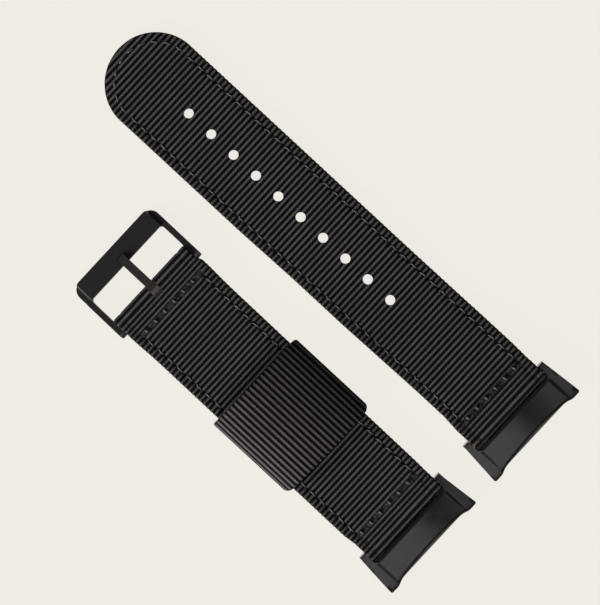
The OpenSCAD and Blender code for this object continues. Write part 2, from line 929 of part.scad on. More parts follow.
module short_adapter_shell() {
  color("#3c3c3f")
    at_short_pin()
      adapter_shell();
}

module short_strap_pin() {
  color("#8c8c90")
    at_short_pin()
      strap_pin();
}

module short_release_tube() {
  color("#8c8c90")
    at_short_pin()
      release_tube();
}

module short_release_fixed_tip() {
  color("#a2a2a6")
    at_short_pin()
      union()
        release_fixed_tip();
}

module short_release_plunger() {
  color("#a2a2a6")
    at_short_pin()
      release_plunger();
}

module short_release_knob() {
  color("#a2a2a6")
    at_short_pin()
      union()
        release_knob();
}

module short_release_spring() {
  color("#b8b8bc")
    at_short_pin()
      release_spring();
}

tail_webbing();
tail_edge_stitching();
tail_cross_stitching();
short_webbing();
short_edge_stitching_left();
short_edge_stitching_right();
short_cross_stitching_buckle();
short_cross_stitching_adapter();
keeper_band();
keeper_seam_stitching();
buckle_frame();
buckle_tongue();
buckle_bar_tube();
buckle_bar_plunger_left();
buckle_bar_plunger_right();
buckle_bar_spring();
tail_adapter_shell();
tail_strap_pin();
tail_release_tube();
tail_release_fixed_tip();
tail_release_plunger();
tail_release_knob();
tail_release_spring();
short_adapter_shell();
short_strap_pin();
short_release_tube();
short_release_fixed_tip();
short_release_plunger();
short_release_knob();
short_release_spring();
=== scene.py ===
"""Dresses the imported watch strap: woven nylon, sewing thread, black metal and steel, in a plain studio."""
import logging
import math
from bisect import bisect_right
from collections.abc import Callable
from dataclasses import dataclass, field
from enum import Enum

import bmesh
import bpy
from mathutils import Matrix, Vector


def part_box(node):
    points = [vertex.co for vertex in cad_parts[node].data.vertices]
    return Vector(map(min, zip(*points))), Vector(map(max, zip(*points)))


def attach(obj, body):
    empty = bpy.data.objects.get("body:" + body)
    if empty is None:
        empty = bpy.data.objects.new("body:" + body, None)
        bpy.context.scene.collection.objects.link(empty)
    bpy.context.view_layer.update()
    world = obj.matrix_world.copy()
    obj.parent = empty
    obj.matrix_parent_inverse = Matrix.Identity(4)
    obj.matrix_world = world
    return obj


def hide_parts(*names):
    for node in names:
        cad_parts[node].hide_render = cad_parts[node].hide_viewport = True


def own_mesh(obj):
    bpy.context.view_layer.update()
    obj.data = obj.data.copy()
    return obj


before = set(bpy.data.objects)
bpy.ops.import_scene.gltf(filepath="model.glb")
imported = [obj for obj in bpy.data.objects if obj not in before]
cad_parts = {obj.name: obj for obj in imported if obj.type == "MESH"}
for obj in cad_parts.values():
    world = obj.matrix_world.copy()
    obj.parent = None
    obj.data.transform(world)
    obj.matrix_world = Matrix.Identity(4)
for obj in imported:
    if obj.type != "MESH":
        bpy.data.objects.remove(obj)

logging.basicConfig(level=logging.INFO, format="%(levelname)s %(message)s")
log = logging.getLogger("strap")

MM = 0.001
Point = tuple[float, float]
Place = tuple[float, float, float]
Colour = tuple[float, float, float]
Piece = bpy.types.Object
Material = bpy.types.Material
Socket = bpy.types.NodeSocket
# Height over the line between two layers, in millimetres, from which a point is on the upper face
UPPER = 0.5


def linear(value: float) -> float:
    """Linear value of one screen value of 0 to 255."""
    part = max(0.0, value) / 255
    return part / 12.92 if part <= 0.04045 else ((part + 0.055) / 1.055) ** 2.4


def screen(red: float, green: float, blue: float) -> Colour:
    """A linear colour from three screen values of 0 to 255."""
    return linear(red), linear(green), linear(blue)


def grey(value: float) -> Colour:
    """A linear colour from a screen grey of 0 to 255."""
    return screen(value, value, value)


def unit(value: float) -> float:
    """A value kept between 0 and 1."""
    return min(1.0, max(0.0, value))


# Materials


class Sheet:
    """A material's node tree, with short calls to add and join nodes."""

    def __init__(self, name: str) -> None:
        """Makes the material and clears its tree.

        Args:
            name: Name of the material.
        """
        self.material = bpy.data.materials.new(name)
        self.material.use_nodes = True
        self.tree = self.material.node_tree
        self.tree.nodes.clear()
        self.output = self.tree.nodes.new("ShaderNodeOutputMaterial")

    def node(self, kind: str, **settings: object) -> bpy.types.Node:
        """Adds a node.

        Args:
            kind: Node type, without its "ShaderNode" prefix.
            **settings: Properties of the node.

        Returns:
            The new node.
        """
        made = self.tree.nodes.new("ShaderNode" + kind)
        for key, value in settings.items():
            setattr(made, key, value)
        return made

    def put(self, source: object, socket: Socket) -> None:
        """Joins a socket to another, or sets it where the source is a plain value."""
        if isinstance(source, Socket):
            self.tree.links.new(source, socket)
        else:
            socket.default_value = source

    def math(self, operation: str, *values: object, clamp: bool = False) -> Socket:
        """Adds a Math node.

        Args:
            operation: The node's operation.
            *values: Sockets or numbers for its inputs.
            clamp: Whether the result is kept between 0 and 1.

        Returns:
            The result's socket.
        """
        made = self.node("Math", operation=operation, use_clamp=clamp)
        for value, socket in zip(values, made.inputs):
            self.put(value, socket)
        return made.outputs[0]

    def times(self, first: object, second: object, clamp: bool = False) -> Socket:
        """Product of two values, kept between 0 and 1 if clamped."""
        return self.math("MULTIPLY", first, second, clamp=clamp)

    def plus(self, first: object, second: object, clamp: bool = False) -> Socket:
        """Sum of two values, kept between 0 and 1 if clamped."""
        return self.math("ADD", first, second, clamp=clamp)

    def minus(self, first: object, second: object) -> Socket:
        """Difference of two values."""
        return self.math("SUBTRACT", first, second)

    def size(self, value: object) -> Socket:
        """A value without its sign."""
        return self.math("ABSOLUTE", value)

    def wave(self, value: object) -> Socket:
        """Sine of a value in half turns."""
        return self.math("SINE", self.times(value, math.pi))

    def split(self, vector: object) -> list[Socket]:
        """The three parts of a vector."""
        made = self.node("SeparateXYZ")
        self.put(vector, made.inputs[0])
        return list(made.outputs)

    def remap(self, value: object, from_low: float, from_high: float, low: float, high: float,
              smooth: bool = False) -> Socket:
        """Maps a value from one range to another, kept inside it.

        Args:
            value: Socket of the value.
            from_low: Lowest value that comes in.
            from_high: Highest value that comes in.
            low: Result at the lowest value.
            high: Result at the highest value.
            smooth: Whether the step is smooth.

        Returns:
            The result's socket.
        """
        made = self.node("MapRange", interpolation_type="SMOOTHSTEP" if smooth else "LINEAR", clamp=True)
        for number, source in enumerate((value, from_low, from_high, low, high)):
            self.put(source, made.inputs[number])
        return made.outputs[0]

    def mix(self, amount: object, first: object, second: object) -> Socket:
        """Mixes two colours by amount and returns the result's socket."""
        made = self.node("Mix", data_type="RGBA")
        for source, name in ((amount, "Factor"), (first, "A"), (second, "B")):
            socket = next(s for s in made.inputs if s.name == name and s.enabled)
            if isinstance(source, tuple) and len(source) == 3:
                source = (*source, 1.0)
            self.put(source, socket)
        return next(s for s in made.outputs if s.enabled)

    def noise(self, vector: object, scale: float, detail: float = 2.0, rough: float = 0.5) -> Socket:
        """Adds a noise texture and returns its value's socket."""
        made = self.node("TexNoise")
        self.put(vector, made.inputs["Vector"])
        for name, value in (("Scale", scale), ("Detail", detail), ("Roughness", rough)):
            made.inputs[name].default_value = value
        return made.outputs[0]

    def place(self, scale: Place = (1.0, 1.0, 1.0)) -> Socket:
        """Object coordinates in millimetres, scaled along each axis."""
        coordinates = self.node("TexCoord")
        mapping = self.node("Mapping")
        self.put(coordinates.outputs["Object"], mapping.inputs["Vector"])
        mapping.inputs["Scale"].default_value = [value / MM for value in scale]
        return mapping.outputs["Vector"]

    def bump(self, height: object, depth: float) -> Socket:
        """Adds a bump of a depth in millimetres and returns the normal's socket."""
        made = self.node("Bump")
        made.inputs["Strength"].default_value = 1.0
        made.inputs["Distance"].default_value = depth * MM
        self.put(height, made.inputs["Height"])
        return made.outputs[0]

    def surface(self, **values: object) -> Material:
        """Adds the surface shader and ends the material.

        Args:
            **values: Sockets or numbers for the shader's inputs, with "_" for a blank in a name.

        Returns:
            The finished material.
        """
        shader = self.node("BsdfPrincipled")
        for key, value in values.items():
            if isinstance(value, tuple) and len(value) == 3:
                value = (*value, 1.0)
            self.put(value, shader.inputs[key.replace("_", " ")])
        self.put(shader.outputs[0], self.output.inputs["Surface"])
        return self.material


@dataclass(frozen=True)
class StudioPaper:
    """The pale floor. The camera and reflections see its own colour, and it still takes a shadow."""
    name: str = "studio_paper"
    colour: Colour = screen(239, 236, 229)
    own: float = 0.97

    def make(self) -> Material:
        """Builds the floor's material."""
        sheet = Sheet(self.name)
        shade = sheet.node("BsdfDiffuse")
        shade.inputs["Color"].default_value = (*self.colour, 1.0)
        glow = sheet.node("Emission")
        glow.inputs["Color"].default_value = (*self.colour, 1.0)
        rays = sheet.node("LightPath")
        seen = sheet.plus(sheet.plus(rays.outputs["Is Camera Ray"], rays.outputs["Is Glossy Ray"]),
                          rays.outputs["Is Transmission Ray"], clamp=True)
        blend = sheet.node("MixShader")
        sheet.put(sheet.times(seen, self.own), blend.inputs[0])
        sheet.put(shade.outputs[0], blend.inputs[1])
        sheet.put(glow.outputs[0], blend.inputs[2])
        sheet.put(blend.outputs[0], sheet.output.inputs["Surface"])
        return sheet.material


@dataclass(frozen=True)
class NylonWeave:
    """Black grosgrain nylon: light yarns over the ribs' crests and black gaps between the ribs; the crest colour is
    partly a painted highlight and the gap colour partly painted shade.

    The weave's UV map counts ribs along the band, and gives millimetres across it.
    """
    name: str
    # crest is the yarns' colour, partly a painted highlight on the rib tops; gap is the black between ribs, partly
    # painted shade in the grooves
    crest: Colour = screen(73, 70, 72)
    gap: Colour = grey(6)
    edge: Colour = screen(67, 65, 63)
    yarn: float = 0.72
    line: float = 9.15
    rough: float = 0.7
    rows: tuple[float, ...] = ()
    # Middle of a stitch, stitch pitch and where the seam starts; a start this far off leaves no shadows
    seam: tuple[float, float, float] = (0.0, 2.8, 1000.0)
    sheen: float = 0.08
    crest_start: float = 0.64
    slant: float = 0.9
    shadow: float = 0.5

    def make(self) -> Material:
        """Builds the webbing's material."""
        sheet = Sheet(self.name)
        uv = sheet.node("UVMap", uv_map="weave")
        along, across, _ = sheet.split(uv.outputs[0])
        away = sheet.size(across)
        place = sheet.place()
        x = sheet.split(place)[0]
        rib, part = sheet.math("FLOOR", along), sheet.math("FRACT", along)
        # Crest mask: gives each rib's top the crest colour, partly a painted highlight, and leaves the grooves in
        # the gap colour, partly painted shade
        crest = sheet.remap(sheet.wave(part), self.crest_start, 1.0, 0.0, 1.0, smooth=True)
        # Yarns across the rib, each slanted a little and shifted from rib to rib
        shift = sheet.node("TexWhiteNoise", noise_dimensions="1D")
        sheet.put(rib, shift.inputs["W"])
        lean = sheet.times(sheet.minus(part, 0.5), self.slant)
        count = sheet.plus(sheet.plus(sheet.math("DIVIDE", across, self.yarn), lean), shift.outputs[0])
        yarn = sheet.wave(sheet.math("FRACT", count))
        cell = sheet.node("CombineXYZ")
        sheet.put(rib, cell.inputs[0])
        sheet.put(sheet.math("FLOOR", count), cell.inputs[1])
        chance = sheet.node("TexWhiteNoise", noise_dimensions="2D")
        sheet.put(cell.outputs[0], chance.inputs["Vector"])
        odd = sheet.remap(chance.outputs[0], 0.0, 1.0, 0.88, 1.0)
        tint = sheet.times(odd, sheet.remap(yarn, 0.0, 0.8, 0.84, 1.0, smooth=True))
        worn = sheet.remap(sheet.noise(place, 0.22, 3.0), 0.3, 0.7, 0.85, 1.1)
        amount = sheet.times(sheet.times(crest, tint), worn, clamp=True)
        # Crushed yarns under the rows of stitches across the strap
        spots = sheet.node("TexVoronoi", feature="SMOOTH_F1")
        sheet.put(place, spots.inputs["Vector"])
        spots.inputs["Scale"].default_value = 1.7
        crushed = sheet.remap(spots.outputs["Distance"], 0.1, 0.6, 0.65, 0.05)
        for row in self.rows:
            near = sheet.size(sheet.minus(x, row))
            inside = sheet.times(sheet.remap(near, 0.6, 0.85, 1.0, 0.0),
                                 sheet.remap(away, 9.0, 9.4, 1.0, 0.0))
            amount = sheet.plus(sheet.times(amount, sheet.minus(1.0, inside)), sheet.times(crushed, inside))
        # Shadow where the edge stitches dive into the webbing
        first, pitch, start = self.seam
        steps = sheet.math("DIVIDE", sheet.minus(x, first), pitch)
        phase = sheet.math("FRACT", sheet.plus(steps, 0.5))
        from_middle = sheet.times(sheet.size(sheet.minus(phase, 0.5)), pitch)
        beside = sheet.size(sheet.minus(away, self.line - 0.25))
        hole = sheet.times(sheet.remap(from_middle, 0.8, 1.1, 0.0, 1.0, smooth=True),
                           sheet.remap(beside, 0.3, 0.6, self.shadow, 0.0, smooth=True))
        hole = sheet.times(hole, sheet.remap(x, start, start + 0.5, 0.0, 1.0))
        amount = sheet.times(amount, sheet.minus(1.0, hole))
        side = sheet.remap(away, self.line, self.line + 0.35, 0.0, 1.0, smooth=True)
        colour = sheet.mix(amount, self.gap, sheet.mix(side, self.crest, self.edge))
        fibres = sheet.noise(sheet.place((14.0, 5.0, 14.0)), 1.0, 2.0)
        lift = sheet.plus(sheet.times(yarn, 0.8), sheet.times(fibres, 0.25))
        return sheet.surface(Base_Color=colour, Roughness=self.rough, Normal=sheet.bump(lift, 0.03),
                             Specular_IOR_Level=self.sheen)


@dataclass(frozen=True)
class SewingThread:
    """Twisted two-ply thread. The twist runs on the stitch's own UV map."""
    name: str = "sewing_thread"
    light: Colour = screen(53, 51, 53)
    dark: Colour = grey(34)
    plies: float = 2.0
    twists: float = 9.0

    def make(self) -> Material:
        """Builds the thread's material."""
        sheet = Sheet(self.name)
        round_it, along, _ = sheet.split(sheet.node("TexCoord").outputs["UV"])
        ply = sheet.size(sheet.wave(sheet.plus(sheet.times(round_it, self.plies),
                                               sheet.times(along, self.twists))))
        fibres = sheet.noise(sheet.place(), 12.0, 2.0)
        amount = sheet.times(sheet.remap(ply, 0.0, 0.7, 0.0, 1.0, smooth=True),
                             sheet.remap(fibres, 0.3, 0.7, 0.75, 1.0))
        return sheet.surface(Base_Color=sheet.mix(amount, self.dark, self.light), Roughness=0.4,
                             Normal=sheet.bump(ply, 0.05), Specular_IOR_Level=0.5)


@dataclass(frozen=True)
class SatinMetal:
    """Black coated metal with a fine satin grain."""
    name: str
    colour: Colour = screen(22, 22, 23)
    rough: float = 0.18
    shine: float = 0.32
    grain: float = 0.002

    def make(self) -> Material:
        """Builds the coated metal's material."""
        sheet = Sheet(self.name)
        place = sheet.place()
        fine = sheet.noise(place, 9.0, 3.0, 0.6)
        broad = sheet.noise(place, 0.35, 2.0)
        rough = sheet.plus(sheet.remap(fine, 0.3, 0.7, self.rough - 0.03, self.rough + 0.03),
                           sheet.remap(broad, 0.3, 0.7, -0.03, 0.03))
        return sheet.surface(Base_Color=self.colour, Roughness=rough, Normal=sheet.bump(fine, self.grain),
                             Specular_IOR_Level=self.shine)


@dataclass(frozen=True)
class Steel:
    """Bare spring bar steel, turned, with fine rings round its axis."""
    name: str
    colour: Colour = (0.55, 0.55, 0.56)
    rough: float = 0.28

    def make(self) -> Material:
        """Builds the steel's material."""
        sheet = Sheet(self.name)
        rings = sheet.noise(sheet.place((0.4, 9.0, 0.4)), 2.0, 3.0)
        rough = sheet.remap(rings, 0.3, 0.7, self.rough - 0.06, self.rough + 0.08)
        return sheet.surface(Base_Color=self.colour, Metallic=1.0, Roughness=rough,
                             Normal=sheet.bump(rings, 0.002))


# Modelling


def clear() -> None:
    """Leaves edit mode and deselects everything."""
    if bpy.context.object is not None and bpy.context.object.mode != "OBJECT":
        bpy.ops.object.mode_set(mode="OBJECT")
    bpy.ops.object.select_all(action="DESELECT")


def pick(*pieces: Piece) -> None:
    """Selects only these objects, the first one active."""
    clear()
    for piece in pieces:
        piece.select_set(True)
    bpy.context.view_layer.objects.active = pieces[0]


def edit(piece: Piece) -> None:
    """Opens a piece in edit mode with all of it selected."""
    pick(piece)
    bpy.ops.object.mode_set(mode="EDIT")
    bpy.ops.mesh.select_all(action="SELECT")


def add(name: str, data: bpy.types.ID) -> Piece:
    """Adds an object for a mesh, a lamp or a camera to the scene."""
    made = bpy.data.objects.new(name, data)
    bpy.context.scene.collection.objects.link(made)
    return made


def join(pieces: list[Piece]) -> Piece:
    """Joins pieces into the first of them."""
    pick(*pieces)
    bpy.ops.object.join()
    return pieces[0]


def block(name: str, low: Place, high: Place) -> Piece:
    """Adds a block.

    Args:
        name: Name of the object.
        low: Its lowest corner, in millimetres.
        high: Its highest corner.

    Returns:
        The block, with its place in its mesh.
    """
    clear()
    size = [b - a for a, b in zip(low, high)]
    centre = [(a + b) / 2 for a, b in zip(low, high)]
    bpy.ops.mesh.primitive_cube_add(size=1, location=centre)
    piece = bpy.context.object
    piece.name = piece.data.name = name
    piece.scale = size
    bpy.ops.object.transform_apply(location=True, rotation=True, scale=True)
    return piece


def rod(name: str, centre: Place, radius: float, length: float, sides: int = 48, axis: str = "Y") -> Piece:
    """Adds a round rod.

    Args:
        name: Name of the object.
        centre: Its middle, in millimetres.
        radius: Its radius.
        length: Its length.
        sides: Number of its sides.
        axis: The axis it lies along.

    Returns:
        The rod, with its place in its mesh.
    """
    clear()
    turn = {"X": (0, math.pi / 2, 0), "Y": (math.pi / 2, 0, 0), "Z": (0, 0, 0)}[axis]
    bpy.ops.mesh.primitive_cylinder_add(vertices=sides, radius=radius, depth=length, location=centre,
                                        rotation=turn)
    piece = bpy.context.object
    piece.name = piece.data.name = name
    bpy.ops.object.transform_apply(location=True, rotation=True, scale=True)
    return piece


def outline(name: str, points: list[Point], low: float, high: float, plane: str = "XY") -> Piece:
    """Draws a closed outline point by point, fills it and raises it.

    Args:
        name: Name of the object.
        points: The outline's points, in millimetres.
        low: Where the solid starts, across the outline's plane.
        high: Where it ends.
        plane: Plane of the outline, XY or XZ.

    Returns:
        The solid.
    """
    def at(point: Point) -> Vector:
        """Place of one point of the outline."""
        return Vector((*point, low)) if plane == "XY" else Vector((point[0], low, point[1]))
    clear()
    bpy.ops.mesh.primitive_plane_add(size=1)
    piece = bpy.context.object
    piece.name = piece.data.name = name
    edit(piece)
    bpy.ops.mesh.merge(type="CENTER")
    bpy.ops.transform.translate(value=at(points[0]))
    for first, second in zip(points, points[1:] + points[:1]):
        bpy.ops.mesh.extrude_vertices_move(TRANSFORM_OT_translate={"value": at(second) - at(first)})
    bpy.ops.mesh.select_all(action="SELECT")
    bpy.ops.mesh.remove_doubles(threshold=0.0005)
    bpy.ops.mesh.edge_face_add()
    rise = (0, 0, high - low) if plane == "XY" else (0, high - low, 0)
    bpy.ops.mesh.extrude_region_move(TRANSFORM_OT_translate={"value": rise})
    bpy.ops.mesh.select_all(action="SELECT")
    bpy.ops.mesh.normals_make_consistent(inside=False)
    clear()
    return piece


def cut(piece: Piece, axis: int, places: list[float]) -> None:
    """Cuts loops through a piece, square to an axis.

    Args:
        piece: The piece.
        axis: 0, 1 or 2 for X, Y or Z.
        places: Where the cuts lie, in millimetres.
    """
    edit(piece)
    for place in places:
        point, normal = [0.0, 0.0, 0.0], [0.0, 0.0, 0.0]
        point[axis], normal[axis] = place, 1.0
        bpy.ops.mesh.select_all(action="SELECT")
        bpy.ops.mesh.bisect(plane_co=point, plane_no=normal)
    clear()


def modify(piece: Piece, kind: str, **settings: object) -> None:
    """Adds a modifier to a piece and applies it.

    Args:
        piece: The piece.
        kind: Type of the modifier.
        **settings: Its settings.
    """
    pick(piece)
    made = piece.modifiers.new(kind.lower(), kind)
    for key, value in settings.items():
        setattr(made, key, value)
    bpy.ops.object.modifier_apply(modifier=made.name)


def combine(piece: Piece, tool: Piece, operation: str, solver: str = "EXACT") -> None:
    """Joins, cuts or keeps a piece by a tool shape, which is then deleted.

    Args:
        piece: The piece.
        tool: The tool shape.
        operation: UNION, DIFFERENCE or INTERSECT.
        solver: Solver of the boolean modifier.
    """
    modify(piece, "BOOLEAN", object=tool, operation=operation, solver=solver)
    bpy.data.objects.remove(tool)


def place_points(piece: Piece, move: Callable[[Vector], Vector]) -> None:
    """Moves every point of a piece to where a rule puts it.

    Args:
        piece: The piece.
        move: Gives a point's new place from its old one.
    """
    for vertex in piece.data.vertices:
        vertex.co = move(vertex.co)
    piece.data.update()


def settle(piece: Piece, body: str, slot: str, material: Material, *nodes: str,
           angle: float = 40.0, flat: bool = False) -> None:
    """Brings a finished piece from millimetres to metres and hands it to its body.

    Args:
        piece: The piece.
        body: CAD body that it rides on.
        slot: Material slot that it takes its finish from; not used.
        material: Its material.
        *nodes: CAD nodes that it stands for.
        angle: Edges sharper than this many degrees stay sharp.
        flat: Whether its flat faces keep their own normals beside rounded edges.
    """
    pick(piece)
    piece.scale = (MM, MM, MM)
    bpy.ops.object.transform_apply(location=True, rotation=True, scale=True)
    bpy.ops.object.shade_smooth_by_angle(angle=math.radians(angle))
    if flat:
        modify(piece, "WEIGHTED_NORMAL", weight=60, keep_sharp=True)
    piece.data.materials.clear()
    piece.data.materials.append(material)
    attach(piece, body)
    if nodes:
        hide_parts(*nodes)
    log.info("%s built, %d faces", piece.name, len(piece.data.polygons))


# Webbing


@dataclass(frozen=True)
class Lay:
    """A path in a vertical plane that a band of webbing follows, with its outer face on the path's left."""
    points: list[Point]

    def lengths(self) -> list[float]:
        """Length along the path at each of its points."""
        run = [0.0]
        for first, second in zip(self.points, self.points[1:]):
            run.append(run[-1] + math.dist(first, second))
        return run

    def normals(self) -> list[Point]:
        """Unit normal on the path's left at each of its points."""
        ends = [self.points[0], *self.points, self.points[-1]]
        found = []
        for before, after in zip(ends, ends[2:]):
            size = math.dist(before, after)
            found.append(((before[1] - after[1]) / size, (after[0] - before[0]) / size))
        return found


def arc(centre: Point, radius: float, start: float, end: float, step: float = 7.5) -> list[Point]:
    """Points on an arc from one angle to another, in degrees."""
    count = max(2, math.ceil(abs(end - start) / step))
    return [(centre[0] + radius * math.cos(math.radians(start + i * (end - start) / count)),
             centre[1] + radius * math.sin(math.radians(start + i * (end - start) / count)))
            for i in range(count + 1)]


@dataclass(frozen=True)
class Weave:
    """Shape of the ribbed webbing, in millimetres."""
    width: float = 22.0
    ply: float = 1.1
    gap: float = 0.03
    depth: float = 0.3
    scallop: float = 0.1
    edge: float = 0.42
    stitch_line: float = 8.9
    stitch_dip: float = 0.12
    dip_width: float = 0.3
    sharpness: float = 0.7
    samples: tuple[float, ...] = (0.07, 0.17, 0.32, 0.5, 0.68, 0.83, 0.93)
    columns: tuple[float, ...] = (0.0, 2.2, 4.4, 6.6, 8.0, 8.5, 8.9, 9.3, 9.8, 10.3)

    def rib(self, name: str, pitch: float) -> Piece:
        """Models one rib across the band: a rounded block, cut into loops and pressed in between crests.

        Args:
            name: Name of the object.
            pitch: Length of the rib along the band.

        Returns:
            The rib, with open ends.
        """
        half, thick = self.width / 2, self.ply / 2
        piece = block(name, (0, -half, -thick), (pitch, half, thick - self.gap))
        bpy.ops.object.mode_set(mode="EDIT")
        mesh = bmesh.from_edit_mesh(piece.data)
        for face in mesh.faces:
            face.select_set(abs(face.normal.x) > 0.9)
        bpy.ops.mesh.delete(type="ONLY_FACE")
        mesh = bmesh.from_edit_mesh(piece.data)
        bpy.ops.mesh.select_all(action="DESELECT")
        for edge in mesh.edges:
            edge.select_set(abs(edge.verts[0].co.x - edge.verts[1].co.x) > pitch / 2)
        bpy.ops.mesh.bevel(offset=self.edge, segments=4)
        clear()
        cut(piece, 1, [side * y for y in self.columns for side in ((1, -1) if y else (1,))])
        cut(piece, 0, [part * pitch for part in self.samples])

        def press(point: Vector) -> Vector:
            """Presses the section in between two crests, and along the lines of stitches."""
            part = point.x / pitch
            low = 1 - max(0.0, math.sin(math.pi * part)) ** self.sharpness
            outer = max(0.0, point.z / thick)
            dip = self.stitch_dip * math.exp(-((abs(point.y) - self.stitch_line) / self.dip_width) ** 2)
            side = max(0.0, (abs(point.y) - half + self.edge) / self.edge)
            sign = math.copysign(1.0, point.y)
            return Vector((point.x, point.y - sign * self.scallop * low * side,
                           point.z - (self.depth * low + dip) * outer))
        place_points(piece, press)
        return piece

    def band(self, name: str, lay: Lay, pitch: float, put: Callable[[Point, float], Vector],
             ease: Callable[[float], float] = float) -> Piece:
        """Repeats the rib into a band and lays it along its path.

        Args:
            name: Name of the object.
            lay: Path of the band's middle layer.
            pitch: Length of a rib.
            put: Gives the place of a point of the path's plane, shifted across the band.
            ease: Gives the length along the path from the length along the straight band.

        Returns:
            The closed band, with a UV map in millimetres along and across it.
        """
        run, normals = lay.lengths(), lay.normals()
        count = round(run[-1] / pitch)
        pitch = run[-1] / count
        piece = self.rib(name, pitch)
        modify(piece, "ARRAY", count=count, use_relative_offset=False, use_constant_offset=True,
               constant_offset_displace=(pitch, 0, 0), use_merge_vertices=True, merge_threshold=0.002)
        edit(piece)
        bpy.ops.mesh.fill_holes(sides=0)
        bpy.ops.mesh.normals_make_consistent(inside=False)
        clear()
        mesh = piece.data
        layer = mesh.uv_layers.new(name="weave") if not mesh.uv_layers else mesh.uv_layers[0]
        layer.name = "weave"
        for loop in mesh.loops:
            point = mesh.vertices[loop.vertex_index].co
            layer.data[loop.index].uv = (point.x / pitch, point.y)

        def follow(point: Vector) -> Vector:
            """Lays a point of the straight band on the path."""
            length = min(max(ease(point.x), 0.0), run[-1])
            index = min(max(bisect_right(run, length) - 1, 0), len(run) - 2)
            part = (length - run[index]) / (run[index + 1] - run[index])
            spot = Vector(lay.points[index]).lerp(Vector(lay.points[index + 1]), part)
            side = Vector(normals[index]).lerp(Vector(normals[index + 1]), part).normalized()
            spot += side * point.z
            return put((spot.x, spot.y), point.y)
        place_points(piece, follow)
        edit(piece)
        bpy.ops.mesh.normals_make_consistent(inside=False)
        clear()
        return piece


@dataclass(frozen=True)
class Stitch:
    """One stitch of thread, and rows of copies of it."""
    length: float = 1.95
    radius: float = 0.17
    sides: int = 8
    hook: float = 0.0
    dive: float = 0.36
    thinning: float = 0.35

    def one(self) -> Piece:
        """Models one stitch along X with diving ends. A hooked one turns aside at its -X end."""
        half = self.length / 2
        piece = rod("stitch", (0, 0, 0), self.radius, self.length, self.sides, "X")
        cut(piece, 0, [part * half for part in (-0.9, -0.7, -0.35, 0.35, 0.7, 0.9)])

        def bow(point: Vector) -> Vector:
            """Bends the ends down and thins them."""
            part = abs(point.x) / half
            thin = 1 - self.thinning * max(0.0, (part - 0.6) / 0.4) ** 2
            aside = self.hook * max(0.0, (-point.x / half - 0.1) / 0.9) ** 2
            return Vector((point.x * 0.98, point.y * thin + aside, point.z * thin - self.dive * part ** 5))
        place_points(piece, bow)
        return piece

    def copies(self, name: str, places: list[Matrix]) -> Piece:
        """Sews the stitch at each place, as one piece.

        Args:
            name: Name of the piece.
            places: Where each stitch lies.

        Returns:
            The joined stitches.
        """
        first = self.one()
        made = []
        for place in places:
            mesh = first.data.copy()
            mesh.transform(place)
            made.append(add(name, mesh))
        bpy.data.objects.remove(first)
        whole = join(made)
        whole.data.name = name
        return whole


# Depth, reach and fade of the hollows that the edge stitches pull into the webbing
PINCH_DEPTH, PINCH_REACH, PINCH_FADE = 0.26, 0.3, 0.1
# Half length of the dent under a row of stitches across the strap
DENT_REACH = 9.4


def pinch(x: float, across: float, first: float, pitch: float, line: float) -> float:
    """Depth that the diving ends of the edge stitches pull into the webbing.

    Args:
        x: Place along the strap, in millimetres.
        across: Place across it.
        first: Middle of any stitch.
        pitch: Distance from one stitch to the next.
        line: Distance of the stitch line from the strap's centre line.

    Returns:
        How far the point sinks.
    """
    part = (x - first) / pitch
    end = pitch / 2 - abs(part - round(part)) * pitch
    off = abs(across) - line
    return PINCH_DEPTH * math.exp(-(max(0.0, end - PINCH_REACH) ** 2 + off * off) / PINCH_FADE)


def lie(x: float, y: float, z: float, turn: float = 0.0, slope: float = 0.0, flip: bool = False) -> Matrix:
    """Place of one stitch.

    Args:
        x: Its middle along the strap, in millimetres.
        y: Its middle across the strap.
        z: Height of its axis.
        turn: Turn about the upright axis, in radians.
        slope: Rise along its length, in radians.
        flip: Whether it lies on the under face.

    Returns:
        The stitch's matrix.
    """
    roll = Matrix.Rotation(math.pi if flip else 0.0, 4, "X")
    return (Matrix.Translation((x, y, z)) @ Matrix.Rotation(turn, 4, "Z")
            @ Matrix.Rotation(-slope, 4, "Y") @ roll)


def both_faces(x: float, y: float, over: float, under: float, turn: float = 0.0,
               slope: float = 0.0) -> list[Matrix]:
    """Places of a stitch on the upper face and of its mate on the under face.

    Args:
        x: Their middle along the strap, in millimetres.
        y: Their middle across the strap.
        over: Height of the upper stitch.
        under: Height of the under stitch.
        turn: Turn about the upright axis, in radians.
        slope: Rise along their length, in radians.

    Returns:
        The two matrices.
    """
    return [lie(x, y, over, turn, slope), lie(x, y, under, turn, slope, flip=True)]


def spread(start: float, end: float, pitch: float) -> list[float]:
    """Middles of evenly spaced stitches, centred in the stretch from start to end."""
    count = int((end - start) / pitch)
    first = (start + end - (count - 1) * pitch) / 2
    return [first + i * pitch for i in range(count)]


def loop(pin: Point, row: float, rise: float, ply: float) -> list[Point]:
    """Middle layer of a loop of webbing, from the foot of its ramp over the pin to below it.

    Args:
        pin: Place of the pin in the side view, in millimetres.
        row: Place of the row of stitches where the ramp starts.
        rise: Height of the webbing's lower face.
        ply: Thickness of one layer.

    Returns:
        The layer's points.
    """
    outer = pin[1] - rise
    dx, dz = pin[0] - row, pin[1] - rise - 2 * ply
    ramp = math.atan2(dz, dx) + math.asin(outer / math.hypot(dx, dz))
    touch = arc(pin, outer - ply / 2, math.degrees(ramp) + 90, -90)
    height = rise + 1.5 * ply
    foot = touch[0][0] - (touch[0][1] - height) / math.tan(ramp)
    return [(foot, height), *touch]


